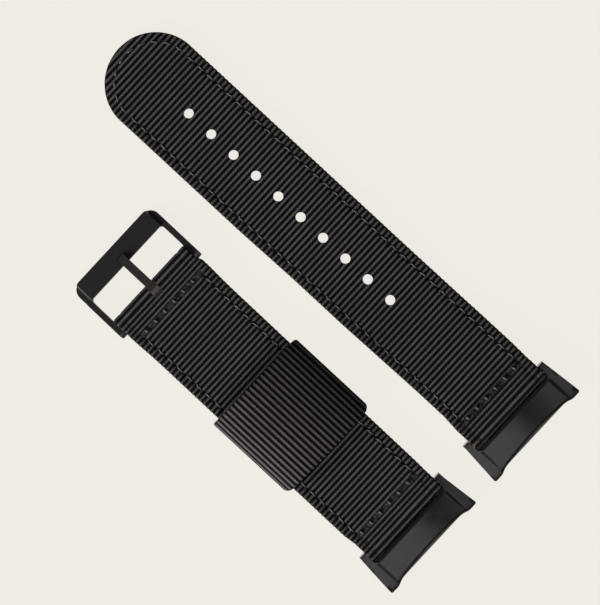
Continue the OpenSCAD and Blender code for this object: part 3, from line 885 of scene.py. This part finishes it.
def dent(point: Point, across: float, row: float, layer: float, half: float = 0.85,
         depth: float = 0.16) -> float:
    """Depth that a row of stitches pulls into the webbing's upper face.

    Args:
        point: A point of the side view, in millimetres.
        across: Its place across the strap.
        row: Place of the row.
        layer: Height of the line between the two layers.
        half: Half width of the dent.
        depth: Its depth.

    Returns:
        How far the point sinks.
    """
    part = abs(point[0] - row) / half
    if part >= 1 or point[1] < layer + UPPER or abs(across) > DENT_REACH:
        return 0.0
    return depth * (1 - part * part)


@dataclass(frozen=True)
class CrossRow:
    """A row of slanted stitches across the strap."""
    x: float
    y: float
    rise: float
    thickness: float = 2.2
    count: int = 6
    pitch: float = 2.93
    slant: float = 12.0
    sunk: float = 0.03
    under: float = 0.3

    def sew(self, name: str) -> Piece:
        """Sews the row on both faces and returns it."""
        places = []
        for i in range(self.count):
            y = self.y + (i - (self.count - 1) / 2) * self.pitch
            places += both_faces(self.x, y, self.rise + self.thickness - self.sunk, self.rise + self.under,
                                 math.radians(self.slant))
        return Stitch(length=1.0, radius=0.28).copies(name, places)


def middle(node: str) -> Vector:
    """Middle of a CAD node's box, in millimetres."""
    low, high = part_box(node)
    return (low + high) / 2 / MM


@dataclass
class LongPiece:
    """The long piece: doubled webbing with a round tip, ten holes and its stitching."""
    weave: Weave = field(default_factory=Weave)
    pitch: float = 1.117
    rise: float = 1.2
    sag_length: float = 24.0
    sag_gap: float = 0.5
    middle_spread: float = 0.27
    end_spread: float = 0.13
    end_draw: float = 0.36
    pin_row: float = 4.45
    hole_radius: float = 1.1
    hole_pitch: float = 6.6
    first_hole: float = 20.6
    hole_count: int = 10
    stitch_pitch: float = 2.85
    stitch_over: float = 0.02
    stitch_under: float = 0.18
    hook: float = 0.3
    seam_gap: float = 0.4
    pinch_gap: float = 0.6
    y: float = field(init=False)
    pin: Point = field(init=False)
    tip: float = field(init=False)

    def __post_init__(self) -> None:
        """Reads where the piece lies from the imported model."""
        pin = middle("tail_strap_pin")
        self.y, self.pin = pin.y, (pin.x, pin.z)
        self.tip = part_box("tail_webbing")[0].x / MM

    @property
    def row(self) -> float:
        """Place of the row of stitches across the webbing."""
        return self.pin[0] - self.pin_row

    def low(self, x: float) -> float:
        """Height of the lower face, which sinks from the adapter to the floor in an even S."""
        end = self.row - self.sag_gap
        part = unit((x - end + self.sag_length) / self.sag_length)
        return self.rise * (1 - math.cos(math.pi * part)) / 2

    def lay(self) -> Lay:
        """Path of the webbing's middle layer: tip, upper layer, round the pin, lower layer, tip."""
        ply = self.weave.ply
        xs = [self.tip - 1.0, self.tip + 6.0]
        start = self.row - self.sag_gap - self.sag_length
        xs += [start + i * self.sag_length / 32 for i in range(33)]
        top = [(x, self.low(x) + 1.5 * ply) for x in xs]
        under = [(x, self.low(x) + 0.5 * ply) for x in reversed(xs)]
        return Lay(top + loop(self.pin, self.row, self.rise, ply) + under)

    def widened(self, x: float, across: float) -> float:
        """Place across the strap where the webbing spreads or draws in a little."""
        middle_part, end_part = unit(-x / 16), unit((x - 14) / 22) * unit((48 - x) / 4)
        spare = (self.end_spread * end_part if across > 0
                 else self.middle_spread * middle_part - self.end_draw * end_part)
        return across * (1 + spare / (self.weave.width / 2))

    def plan(self) -> Piece:
        """Tool shape with the piece's plan: a round tip and straight sides."""
        half = self.weave.width / 2
        centre = (self.tip + half, self.y)
        points = arc(centre, half, 90, 270, 3.0)
        far = self.pin[0] + 4
        tip = outline("tip_plan", [*points, (far, self.y - half - 1), (far, self.y + half + 1)], -2, 9)
        place_points(tip, lambda point: Vector((point.x, self.y + self.widened(point.x, point.y - self.y),
                                                point.z)))
        return tip

    def holes(self) -> Piece:
        """Tool shape with all the punched holes."""
        first = self.tip + self.first_hole
        return join([rod("hole", (first + i * self.hole_pitch, self.y, 1.5), self.hole_radius, 8, 32, "Z")
                     for i in range(self.hole_count)])

    def side_stitches(self) -> list[float]:
        """Middles of the stitches along a side."""
        return spread(self.tip + self.weave.width / 2, self.row - self.seam_gap, self.stitch_pitch)

    def seam(self, side: int) -> list[Matrix]:
        """Places of the stitches along one side, on both faces."""
        found = []
        for x in self.side_stitches():
            y = self.y + self.widened(x, side * self.weave.stitch_line)
            slope = math.atan2(self.low(x + 0.5) - self.low(x - 0.5), 1.0)
            found += both_faces(x, y, self.low(x) + 2 * self.weave.ply + self.stitch_over,
                                self.low(x) + self.stitch_under, 0.0, slope)
        return found

    def tip_seam(self) -> list[Matrix]:
        """Places of the stitches round the tip, on both faces."""
        half, line = self.weave.width / 2, self.weave.stitch_line
        centre, found = self.tip + half, []
        count = round(math.pi * line / self.stitch_pitch)
        for i in range(count):
            angle = math.radians(90 + 180 * (i + 0.5) / count)
            x = centre + line * math.cos(angle)
            y = self.y + self.widened(x, line * math.sin(angle))
            found += both_faces(x, y, 2 * self.weave.ply + self.stitch_over, self.stitch_under,
                                angle + math.pi / 2)
        return found

    def build(self, nylon: Material, thread: Material, cross: Material) -> None:
        """Builds the long piece.

        Args:
            nylon: Material of the webbing.
            thread: Material of the edge stitching.
            cross: Material of the cross stitching.
        """
        def put(point: Point, across: float) -> Vector:
            """Place of a point of the path, shifted across the strap."""
            height = point[1] - dent(point, across, self.row, self.rise + self.weave.ply)
            if first - 1 < point[0] < last and point[1] > self.low(point[0]) + self.weave.ply + UPPER:
                height -= pinch(point[0], across, first, self.stitch_pitch, self.weave.stitch_line)
            return Vector((point[0], self.y + self.widened(point[0], across), height))
        first, last = self.side_stitches()[0], self.row - self.pinch_gap
        webbing = self.weave.band("long_webbing", self.lay(), self.pitch, put)
        combine(webbing, self.plan(), "INTERSECT", "MANIFOLD")
        combine(webbing, self.holes(), "DIFFERENCE", "MANIFOLD")
        settle(webbing, "tail_band", "webbing", nylon, "tail_webbing")
        sides = [Stitch(hook=-side * self.hook).copies("long_edge_thread", self.seam(side))
                 for side in (1, -1)]
        seams = join([*sides, Stitch().copies("tip_thread", self.tip_seam())])
        settle(seams, "tail_band", "thread", thread, "tail_edge_stitching")
        rows = CrossRow(self.row, self.y, self.rise).sew("long_cross_thread")
        settle(rows, "tail_band", "thread", cross, "tail_cross_stitching")


@dataclass
class ShortPiece:
    """The short piece: a doubled band round the pin and the buckle's bar, and its stitching."""
    weave: Weave = field(default_factory=Weave)
    pitch: float = 1.1
    rise: float = 1.2
    pin_row: float = 4.45
    bar_row: float = 4.81
    joint: float = 22.0
    slot_reach: float = 1.5
    slot_half: float = 1.14
    fold_spread: float = 0.15
    bulge: float = 0.2
    row_shifts: Point = (-0.5, -0.8)
    stitch_pitch: float = 2.8
    stitch_over: float = 0.02
    stitch_under: float = 0.1
    hook: float = 0.3
    seam_gap: float = 0.4
    pinch_gap: float = 0.6
    y: float = field(init=False)
    pin: Point = field(init=False)
    bar: Point = field(init=False)

    def __post_init__(self) -> None:
        """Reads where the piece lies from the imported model."""
        pin, bar = middle("short_strap_pin"), middle("buckle_bar_tube")
        self.y, self.pin, self.bar = pin.y, (pin.x, pin.z), (bar.x, bar.z)

    @property
    def rows(self) -> tuple[float, float]:
        """Places of the two rows of stitches across the webbing."""
        return self.bar[0] + self.bar_row, self.pin[0] - self.pin_row

    def lay(self) -> Lay:
        """Path of the webbing's middle layer, once round both loops, from its joint under the keeper."""
        low = self.rise + self.weave.ply / 2
        pin_side = loop(self.pin, self.rows[1], self.rise, self.weave.ply)
        mirrored = loop((-self.bar[0], self.bar[1]), -self.rows[0], self.rise, self.weave.ply)
        bar_side = [(-x, z) for x, z in reversed(mirrored)]
        return Lay([(self.joint - 0.1, low), *bar_side, *pin_side, (self.joint + 0.1, low)])

    def slot(self) -> Piece:
        """Tool shape of the tongue's slot through the fold."""
        return block("tongue_slot", (self.bar[0] - 5, self.y - self.slot_half, 0.5),
                     (self.bar[0] + self.slot_reach, self.y + self.slot_half, 7))

    def side_stitches(self) -> list[float]:
        """Middles of the stitches along a side."""
        return spread(self.rows[0] + self.pinch_gap, self.rows[1] - self.seam_gap, self.stitch_pitch)

    def widened(self, x: float, across: float) -> float:
        """Place across the strap: it bulges behind the buckle's arms, and fits the metal parts."""
        fold = unit((self.bar[0] + 3.5 - x) / 2.0)
        free = unit((x - self.bar[0] - 1.8) / 1.2) * unit((self.pin[0] - 3.6 - x) / 3.0)
        part = (x - self.bar[0]) / (self.pin[0] - self.bar[0])
        bulge = self.bulge * math.exp(-((x - self.bar[0] - 4.5) / 4.0) ** 2)
        spare = (0.5 - 0.45 * part if across > 0 else 0.08 + 0.3 * part) + bulge
        return across * (1 + (self.fold_spread * fold * (1 - free) + spare * free) / (self.weave.width / 2))

    def seam(self, side: int) -> list[Matrix]:
        """Places of the stitches along one side, on both faces."""
        top, found = self.rise + 2 * self.weave.ply, []
        for x in self.side_stitches():
            y = self.y + self.widened(x, side * self.weave.stitch_line)
            found += both_faces(x, y, top + self.stitch_over, self.rise + self.stitch_under)
        return found

    def build(self, nylon: Material, thread: Material, cross: Material) -> None:
        """Builds the short piece.

        Args:
            nylon: Material of the webbing.
            thread: Material of the edge stitching.
            cross: Material of the cross stitching.
        """
        def put(point: Point, across: float) -> Vector:
            """Place of a point of the path, shifted across the strap."""
            height = point[1]
            for row in self.rows:
                height -= dent(point, across, row, self.rise + self.weave.ply)
            upper = point[1] > self.rise + self.weave.ply + UPPER
            if upper and self.rows[0] + self.pinch_gap < point[0] < self.rows[1] - self.pinch_gap:
                height -= pinch(point[0], across, first, self.stitch_pitch, self.weave.stitch_line)
            return Vector((point[0], self.y + self.widened(point[0], across), height))
        first = self.side_stitches()[0]
        webbing = self.weave.band("short_webbing_band", self.lay(), self.pitch, put)
        combine(webbing, self.slot(), "DIFFERENCE", "MANIFOLD")
        settle(webbing, "short_band", "webbing", nylon, "short_webbing")
        for side, name in ((1, "left"), (-1, "right")):
            thread_line = Stitch(hook=-side * self.hook).copies(f"short_edge_thread_{name}", self.seam(side))
            settle(thread_line, "short_band", "thread", thread, f"short_edge_stitching_{name}")
        for row, name, shift in zip(self.rows, ("buckle", "adapter"), self.row_shifts):
            across = CrossRow(row, self.y + shift, self.rise).sew(f"short_cross_thread_{name}")
            settle(across, "short_band", "thread", cross, f"short_cross_stitching_{name}")


@dataclass
class Keeper:
    """The sliding keeper: a band of the same webbing, arched, with its ribs along the strap."""
    weave: Weave = field(default_factory=lambda: Weave(stitch_dip=0.0, depth=0.25,
                                                       columns=(0.0, 3.5, 7.0, 9.4, 10.2)))
    pitch: float = 1.16
    side_height: float = 3.3
    lean: float = 0.13
    corner: float = 1.6
    seam_count: int = 8
    seam_pitch: float = 2.75
    seam_height: float = 0.2
    flank_start: float = 11.2
    flank_run: float = 1.5
    skew: float = 0.35
    pull_in: float = 0.75
    push_out: float = 0.3

    def __post_init__(self) -> None:
        """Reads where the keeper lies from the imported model."""
        low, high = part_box("keeper_band")
        self.centre = (low + high) / 2 / MM
        self.half, self.top = (high.y - low.y) / 2 / MM, high.z / MM

    def lay(self) -> Lay:
        """Path of the middle layer, from the seam below round the arch and back."""
        layer = self.weave.ply / 2
        half, top, radius = self.half - layer, self.top - layer, self.corner - layer
        left = arc((radius - half, self.corner), radius, 270, 180)
        arch = [(-half * (math.cos(t) + self.lean * math.sin(t) ** 2),
                 self.side_height + (top - self.side_height) * math.sin(t))
                for t in (math.radians(4 * i) for i in range(46))]
        right = arc((half - radius, self.corner), radius, 0, -90)
        return Lay([(-0.08, layer), *left, *arch, *right, (0.08, layer)])

    def build(self, nylon: Material, thread: Material) -> None:
        """Builds the keeper.

        Args:
            nylon: Material of its webbing.
            thread: Material of its seam's stitching.
        """
        def put(point: Point, across: float) -> Vector:
            """Place of a point of the path, shifted along the strap. The ends draw in over the sides."""
            flank = unit((abs(point[0]) - self.flank_start) / self.flank_run) ** 2
            pull = self.pull_in if across > 0 else -self.push_out if point[0] > 0 else 0.0
            drawn = across - pull * flank * abs(across) / (self.weave.width / 2)
            skew = -self.skew * max(0.0, -point[0] / self.half)
            return Vector((self.centre.x + drawn + skew, self.centre.y + point[0], point[1]))
        band = self.weave.band("keeper_webbing", self.lay(), self.pitch, put)
        settle(band, "keeper", "keeper_webbing", nylon, "keeper_band")
        steps = [(i - (self.seam_count - 1) / 2) * self.seam_pitch for i in range(self.seam_count)]
        places = [lie(self.centre.x + step, self.centre.y, self.seam_height, math.pi / 2, flip=True)
                  for step in steps]
        seam = Stitch(length=2.0).copies("keeper_seam_thread", places)
        settle(seam, "keeper", "thread", thread, "keeper_seam_stitching")


# Metal parts

BEVEL_ANGLE = 40.0
# How far the buckle bar's plungers press in and the adapters' release plungers slide, in millimetres
BAR_TRAVEL, RELEASE_TRAVEL = 0.95, 1.1


def round_edges(piece: Piece, width: float, segments: int = 3) -> None:
    """Bevels the sharp edges by up to a width in millimetres. The overlap guard can narrow it to nothing."""
    modify(piece, "BEVEL", width=width, segments=segments, limit_method="ANGLE",
           angle_limit=math.radians(BEVEL_ANGLE), use_clamp_overlap=True, harden_normals=False)


def mirrored(points: list[Point]) -> list[Point]:
    """An outline of points at +Y, closed by the same points at -Y."""
    return points + [(x, -y) for x, y in reversed(points) if y]


class Side(Enum):
    """Which of the two pieces an adapter ends."""
    LONG = "tail"
    SHORT = "short"


@dataclass
class Adapter:
    """One black metal adapter: a crowned face between two rails, ears, horns and a spring bar barrel."""
    side: Side
    crown: float = 100.0
    bend: float = 20.0
    bend_x: float = 1.9
    ear_back: float = 1.0
    ear_in: float = 11.02
    ear_out: float = 12.53
    ear_corner: float = 0.8
    ear_front: float = 5.2
    reach: float = 9.36
    flare: float = 0.85
    tip_corner: float = 0.45
    face_x: float = 2.08
    face_round: float = 0.9
    lip_x: float = 8.81
    hollow: float = 0.66
    barrel_half: float = 10.35
    barrel_radius: float = 1.65
    under: float = 2.9
    rail_drop: float = 0.62
    rail_slope: float = 0.114
    crease: float = 10.0
    knob_in: float = 3.1
    knob_half: float = 0.7
    travel: float = RELEASE_TRAVEL
    foot_z: float = 0.15
    bar_bore: float = 0.92
    pin_bore: float = 0.76
    overlap: float = 0.3
    web_start: float = 4.2
    lip_start: float = 1.8
    lip_top: float = 1.3
    foot_start: float = 1.2
    foot_top: float = 0.8
    inner_end: float = 4.4
    rail_rise: float = 0.12
    front_drop: float = 0.3
    lip_reach: float = 9.0
    lip_slope: float = 0.6
    # Loops cut across the crown and along it, close together where the top bends most
    rows_across: tuple[float, ...] = (1.5, 3, 4.5, 6, 7.5, 9, 9.7, 10.0, 10.2, 10.4, 10.6, 10.8, 10.96,
                                      11.4, 12.0)
    rows_along: tuple[float, ...] = (-0.6, 0.2, 1.0, 1.8, 2.25, 2.42, 2.6, 2.8, 3.05, 3.4, 4.2, 5.0, 5.8,
                                     6.6, 7.3, 7.6, 7.8, 8.0, 8.2, 8.4, 8.6, 9.0)
    # Points of the horn's inner side: distance from the middle, and share of the way to the horn's tip
    horn_steps: tuple[Point, ...] = ((11.9, 0.99), (11.5, 0.94), (11.1, 0.82), (10.7, 0.6), (10.3, 0.37),
                                     (9.9, 0.17), (9.5, 0.05), (9.0, 0.0))

    def __post_init__(self) -> None:
        """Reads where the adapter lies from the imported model."""
        self.pin = middle(f"{self.side.value}_strap_pin")
        self.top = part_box(f"{self.side.value}_adapter_shell")[1].z / MM
        self.release_x = self.lip_x - self.barrel_radius

    def edge(self, y: float) -> float:
        """Place along X of the hollow end edge, at a distance from the middle."""
        radius = (self.barrel_half ** 2 + self.hollow ** 2) / (2 * self.hollow)
        return self.lip_x - self.hollow + radius - math.sqrt(radius ** 2 - y * y)

    def plan(self) -> list[Point]:
        """Outline seen from above, with the pin over the origin."""
        out, radius = self.ear_out, self.ear_corner
        horn = out + self.flare
        hollow = [(self.edge(y), y) for y in (8, 6, 4, 2, 0)]
        ear = arc((-self.ear_back + radius, out - radius), radius, 180, 94, 15)
        tip = arc((self.reach - self.tip_corner, horn - self.tip_corner), self.tip_corner, 88, -20, 18)
        inner = [(self.edge(y) + (self.reach - self.edge(y)) * part, y) for y, part in self.horn_steps]
        return mirrored([(self.face_x, self.ear_in), (-self.ear_back, self.ear_in), *ear, *tip, *inner,
                         *hollow])

    def body(self) -> Piece:
        """Models the solid with a flat top, and bevels its edges as far as they allow."""
        piece = outline(f"{self.side.value}_adapter", self.plan(), self.under, self.top)
        half = self.barrel_half
        for sign in (-1, 1):
            inner, outer = sorted((sign * self.ear_in, sign * (self.ear_out + 0.02)))
            ear = block("ear", (-self.ear_back, inner, 0), (self.ear_front, outer, self.under + self.overlap))
            pick(ear)
            bpy.ops.object.mode_set(mode="EDIT")
            mesh = bmesh.from_edit_mesh(ear.data)
            bpy.ops.mesh.select_all(action="DESELECT")
            for edge in mesh.edges:
                edge.select_set(all(abs(v.co.x + self.ear_back) < 0.01
                                    and abs(abs(v.co.y) - self.ear_out) < 0.1 for v in edge.verts))
            bpy.ops.mesh.bevel(offset=self.ear_corner, segments=5)
            clear()
            combine(piece, ear, "UNION")
        wide = self.ear_in + 0.1
        for name, side, start, end, high in (
                ("web", half, self.web_start, self.release_x, self.under + self.overlap),
                ("lip", wide, self.lip_start, self.inner_end, self.lip_top),
                ("foot", wide, self.foot_start, self.inner_end, self.foot_top)):
            combine(piece, block(name, (start, -side, self.foot_z), (end, side, high)), "UNION")
        axis = (self.release_x, 0, self.barrel_radius)
        combine(piece, rod("barrel", axis, self.barrel_radius, 2 * half, 48), "UNION")
        combine(piece, rod("bar_bore", axis, self.bar_bore, 2 * half + 2, 32), "DIFFERENCE")
        combine(piece, rod("pin_bore", (0, 0, self.pin.z), self.pin_bore, 40, 32), "DIFFERENCE")
        knob = self.knob_in - half
        low = (self.release_x - self.knob_half, knob - self.knob_half, -1)
        high = (self.release_x + self.knob_half, knob + self.travel + self.knob_half, 1.2)
        combine(piece, block("knob_window", low, high), "DIFFERENCE")
        round_edges(piece, 0.16)
        return piece

    def drop(self, x: float, y: float) -> float:
        """How far the top lies below its highest line: bent along, crowned across, with raised rails."""
        bent = self.bend - math.sqrt(self.bend ** 2 - (x - self.bend_x) ** 2)
        side = abs(y)
        face = min(side, self.crease) ** 2 / (2 * self.crown)
        past = max(0.0, side - self.crease)
        part = min(1.0, past)
        blend = part * part * (3 - 2 * part)
        rail = self.rail_drop - self.rail_rise * unit((x - 5) / 4) + self.rail_slope * past
        front = self.front_drop * max(0.0, 1 - max(0.0, x - self.face_x) / self.face_round) ** 2
        hollow = max(0.0, 1 - (side / self.lip_reach) ** 2)
        lip = self.edge(min(side, self.lip_reach)) - 0.12 - 0.3 * hollow
        return bent + (face + front) * (1 - blend) + rail * blend + self.lip_slope * max(0.0, x - lip) * (1 - blend)

    def build(self, metal: Material, body: str) -> None:
        """Builds the adapter.

        Args:
            metal: Its material.
            body: CAD body that it rides on.
        """
        piece = self.body()
        cut(piece, 1, [0.0] + [side * y for y in self.rows_across for side in (1, -1)])
        cut(piece, 0, list(self.rows_along))
        base = self.under + 0.35

        def bend(point: Vector) -> Vector:
            """Bends the top of the flat solid, and sets it over its pin."""
            part = unit((point.z - base) / (self.top - 0.4 - base))
            height = point.z - self.drop(point.x, point.y) * part
            return Vector((self.pin.x + point.x, self.pin.y + point.y, height))
        place_points(piece, bend)
        settle(piece, body, "adapter_metal", metal, f"{self.side.value}_adapter_shell", angle=35, flat=True)


@dataclass
class Buckle:
    """The buckle's frame and tongue, drawn flat about the bar and then drooped to the floor."""
    length: float = 13.28
    crossbar: float = 4.95
    thick: float = 2.0
    arm_in: float = 11.12
    arm_out: float = 12.48
    arm_end: float = 2.4
    arm_corner: float = 0.45
    boss_in: float = 11.06
    boss_start: float = 1.6
    boss_end: float = 2.2
    corner: float = 2.4
    window_corner: float = 0.7
    undercut: float = 0.4
    droop: float = 10.0795
    step: float = 0.7
    step_in: float = 1.6
    step_run: float = 0.4
    tongue_width: float = 1.85
    tongue_thick: float = 1.15
    tongue_reach: float = 1.9
    eye_width: float = 2.2
    eye_radius: float = 1.98
    notch: float = 0.35
    notch_play: float = 0.12
    notch_end: float = 0.4
    tip_bore: float = 0.43
    nose_share: float = 0.42
    eye_bore: float = 0.93

    def __post_init__(self) -> None:
        """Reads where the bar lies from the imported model."""
        self.bar = middle("buckle_bar_tube")

    def drooped(self, point: Vector) -> Vector:
        """Place of a point of the flat buckle."""
        turn = math.radians(self.droop)
        return Vector((self.bar.x + point.x * math.cos(turn) - point.z * math.sin(turn),
                       self.bar.y + point.y,
                       self.bar.z + point.x * math.sin(turn) + point.z * math.cos(turn)))

    def frame_solid(self) -> Piece:
        """Models the frame flat, with the bar on the Y axis."""
        half, out, inner = self.thick / 2, self.arm_out, self.crossbar - self.length
        ends = arc((-self.length + self.corner, out - self.corner), self.corner, 180, 90, 10)
        corner = arc((self.arm_end - self.arm_corner, out - self.arm_corner), self.arm_corner, 88, 0, 22)
        arm = [*ends, *corner, (self.arm_end, self.boss_in), (-self.boss_start, self.boss_in),
               (-self.boss_end, self.arm_in)]
        bend = self.window_corner
        window = arc((inner + bend, self.arm_in - bend), bend, 90, 180, 18)
        outer = [(-self.length, 0.0), *arm, *window, (inner, 0.0)]
        piece = outline("buckle_frame_body", mirrored(outer), -half, half)

        def lean(point: Vector) -> Vector:
            """Leans the crossbar's inner wall, so that it overhangs once the frame droops."""
            within = -self.length + 2 < point.x < inner + 1
            if point.z > 0 or abs(point.y) > self.arm_in + 0.01 or not within:
                return point
            part = 1 - max(0.0, point.x - inner) / self.window_corner
            return point - Vector((self.undercut * max(0.0, part), 0, 0))
        place_points(piece, lean)
        round_arm = rod("arm_round", (self.arm_end - half, 0, 0), half, 40, 40)
        keep = block("arm_keep", (-30, -20, -3), (self.arm_end - half, 20, 3))
        combine(keep, round_arm, "UNION")
        combine(piece, keep, "INTERSECT")
        for sign in (-1, 1):
            upper, lower = sign * (out - self.step_in), sign * (out - self.step_in + self.step_run)
            beyond = sign * (out + 1)
            wedge = outline("step", [(upper, half), (lower, half - self.step), (beyond, half - self.step),
                                     (beyond, half + 1), (upper, half + 1)], 0, self.crossbar + 1)
            place_points(wedge, lambda point: Vector((-self.length - 1 + point.z, point.x, point.y)))
            combine(piece, wedge, "DIFFERENCE")
        tip = self.length - self.crossbar + self.tongue_reach
        notch_half = self.tongue_width / 2 + self.notch_play
        combine(piece, block("notch", (-tip - self.notch_end, -notch_half, half - self.notch),
                             (inner + 1, notch_half, half + 1)), "DIFFERENCE")
        combine(piece, rod("tip_bore", (0, 0, 0), self.tip_bore, 2 * (self.arm_in + 0.8), 24), "DIFFERENCE")
        round_edges(piece, 0.22)
        return piece

    def tongue_solid(self) -> Piece:
        """Models the tongue flat: an eye round the bar, a shank with a slight waist and a round nose."""
        half = self.thick / 2
        inner = self.length - self.crossbar
        low = half - self.notch + self.notch_play
        top, tip = low + self.tongue_thick, inner + self.tongue_reach
        nose = self.tongue_thick * self.nose_share
        waist = -inner / 2
        side = [(0, -self.eye_radius / 2), (waist, low - 0.25), (-inner + 0.3, low),
                *arc((-tip + nose, low + nose), nose, 270, 120, 18),
                (-tip + self.tongue_thick, top), (waist, top), (-1.2, top - 0.25),
                (0.3, self.eye_radius * 0.72)]
        width = self.tongue_width / 2
        piece = outline("buckle_tongue_body", side, -width, width, "XZ")
        combine(piece, rod("eye", (0, 0, 0), self.eye_radius, self.eye_width, 48), "UNION")
        combine(piece, rod("eye_bore", (0, 0, 0), self.eye_bore, 4, 40), "DIFFERENCE")
        round_edges(piece, 0.34, 4)
        return piece

    def build(self, metal: Material, tongue_metal: Material) -> None:
        """Builds the frame and the tongue.

        Args:
            metal: Material of the frame.
            tongue_metal: Material of the tongue.
        """
        body = self.frame_solid()
        place_points(body, self.drooped)
        settle(body, "buckle_frame", "buckle_metal", metal, "buckle_frame", angle=35, flat=True)
        tongue = self.tongue_solid()
        place_points(tongue, self.drooped)
        settle(tongue, "buckle_tongue", "tongue_metal", tongue_metal, "buckle_tongue", angle=35, flat=True)


@dataclass(frozen=True)
class PressedSpring:
    """A coiled spring, or half of one, that a plunger presses into at its end, copied from the imported spring."""
    node: str
    name: str
    joint: str
    body: str
    travel: float
    pressed: int = -1
    halved: bool = False
    spare: float = 0.02

    def build(self, steel: Material) -> None:
        """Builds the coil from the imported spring.

        Args:
            steel: Its material.
        """
        low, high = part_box(self.node)
        centre = (low + high) / 2
        # The copy isn't merged, so the halves keep a few open edges where they are cut
        piece = add(self.name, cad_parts[self.node].data.copy())
        if self.halved:
            edit(piece)
            bpy.ops.mesh.bisect(plane_co=centre, plane_no=(0, self.pressed, 0), use_fill=True,
                                clear_inner=True)
            clear()
        piece.data.materials.clear()
        piece.data.materials.append(steel)
        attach(piece, self.body)
        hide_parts(self.node)
        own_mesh(piece)
        log.info("%s built, %d faces", piece.name, len(piece.data.polygons))


# Studio


@dataclass
class Studio:
    """Floor, lamps and the camera of the photograph."""
    lens: float = 150.0
    sensor: float = 36.0
    place: Place = (5.664, 6.569, 542.002)
    right: Place = (0.73356, 0.67959, -0.00654)
    up: Place = (-0.67962, 0.73355, -0.00357)
    back: Place = (0.00237, 0.00706, 0.99997)
    world_strength: float = 0.05
    floor_size: float = 6.0
    floor_height: float = -0.00002

    def camera(self) -> None:
        """Places the camera over the strap."""
        data = bpy.data.cameras.new("camera")
        data.lens, data.sensor_width, data.sensor_fit = self.lens, self.sensor, "HORIZONTAL"
        data.clip_start, data.clip_end = 0.01, 10.0
        camera = add("camera", data)
        turn = Matrix((self.right, self.up, self.back)).transposed().to_4x4()
        camera.matrix_world = Matrix.Translation(Vector(self.place) * MM) @ turn
        bpy.context.scene.camera = camera

    def floor(self) -> None:
        """Lays the floor."""
        bpy.ops.mesh.primitive_plane_add(size=self.floor_size, location=(0, 0, self.floor_height))
        paper = bpy.context.object
        paper.name = "floor"
        bpy.ops.object.transform_apply(location=True)
        paper.data.materials.append(StudioPaper().make())

    def lamp(self, name: str, at: Place, size: Point, power: float, flat: bool = False) -> None:
        """Hangs one soft lamp.

        Args:
            name: Name of the lamp.
            at: Its place, in metres.
            size: Its width and height, in metres.
            power: Its power, in watts.
            flat: Whether it faces straight down, and not the strap.
        """
        data = bpy.data.lights.new(name, "AREA")
        data.shape, data.size, data.size_y, data.energy = "RECTANGLE", size[0], size[1], power
        lamp = add(name, data)
        lamp.location = at
        if not flat:
            lamp.rotation_euler = (-Vector(at)).to_track_quat("-Z", "Y").to_euler()

    def light(self) -> None:
        """Sets the world and hangs the lamps."""
        world = bpy.data.worlds.new("studio")
        bpy.context.scene.world = world
        world.use_nodes = True
        back = world.node_tree.nodes["Background"]
        back.inputs["Color"].default_value = (0.97, 0.98, 1.0, 1.0)
        back.inputs["Strength"].default_value = self.world_strength
        self.lamp("key_lamp", (0.0, -1.84, 0.78), (2.4, 1.4), 113.0)
        self.lamp("strip_lamp", (0.85, -0.485, 2.0), (2.3, 0.99), 13.0, flat=True)
        self.lamp("fill_lamp", (0.85, 0.59, 2.0), (2.3, 0.437), 3.7, flat=True)

    def build(self) -> None:
        """Builds the whole studio."""
        bpy.context.scene.view_settings.view_transform = "Standard"
        self.camera()
        self.floor()
        self.light()


def dress(names: list[str], material: Material) -> None:
    """Gives CAD nodes a material.

    Args:
        names: The nodes.
        material: Their material.
    """
    for name in names:
        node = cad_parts[name]
        for slot in node.material_slots:
            slot.material = material


def main() -> None:
    """Builds the scene, piece by piece."""
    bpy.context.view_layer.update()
    Studio().build()
    log.info("studio built")
    steel, spring = Steel("bar_steel").make(), Steel("spring_steel", (0.62, 0.62, 0.64), 0.2).make()
    bars = ("strap_pin", "release_tube", "release_fixed_tip", "release_plunger", "release_knob")
    dress([f"{side}_{part}" for side in ("tail", "short") for part in bars], steel)
    dress(["buckle_bar_tube", "buckle_bar_plunger_left", "buckle_bar_plunger_right"], steel)
    log.info("steel parts dressed")
    for hand, pressed in (("left", 1), ("right", -1)):
        PressedSpring("buckle_bar_spring", f"buckle_spring_{hand}", f"bar_press_{hand}", "short_band",
                      BAR_TRAVEL, pressed, True).build(spring)
    for side in Side:
        PressedSpring(f"{side.value}_release_spring", f"{side.value}_release_coil",
                      f"{side.value}_release_slide", f"{side.value}_adapter", RELEASE_TRAVEL).build(spring)
    thread = SewingThread().make()
    # The cross stitching takes a lighter copy of the sewing thread; the extra lightness is a painted highlight on
    # the stitches' crowns
    cross = SewingThread("cross_thread", light=screen(76, 73, 75), dark=grey(46)).make()
    long_piece, short_piece = LongPiece(), ShortPiece()
    first = long_piece.side_stitches()[0]
    long_holes = (first, long_piece.stitch_pitch, first - 1)
    short_holes = (short_piece.side_stitches()[0], short_piece.stitch_pitch, short_piece.rows[0])
    nylon = NylonWeave("long_nylon", rows=(long_piece.row,), seam=long_holes)
    long_piece.build(nylon.make(), thread, cross)
    nylon = NylonWeave("short_nylon", rows=short_piece.rows, seam=short_holes)
    short_piece.build(nylon.make(), thread, cross)
    Keeper().build(NylonWeave("keeper_nylon", crest=screen(75, 71, 72), line=10.2).make(), thread)
    black = SatinMetal("adapter_black").make()
    for side in Side:
        Adapter(side).build(black, f"{side.value}_adapter")
    # The buckle and tongue take lighter copies of the adapters' black metal; the extra lightness is painted light
    # that the lamps do not give them
    Buckle().build(SatinMetal("buckle_black_painted_light", screen(35, 34, 34)).make(),
                   SatinMetal("tongue_black_painted_light", screen(41, 40, 38)).make())


if __name__ == "__main__":
    main()
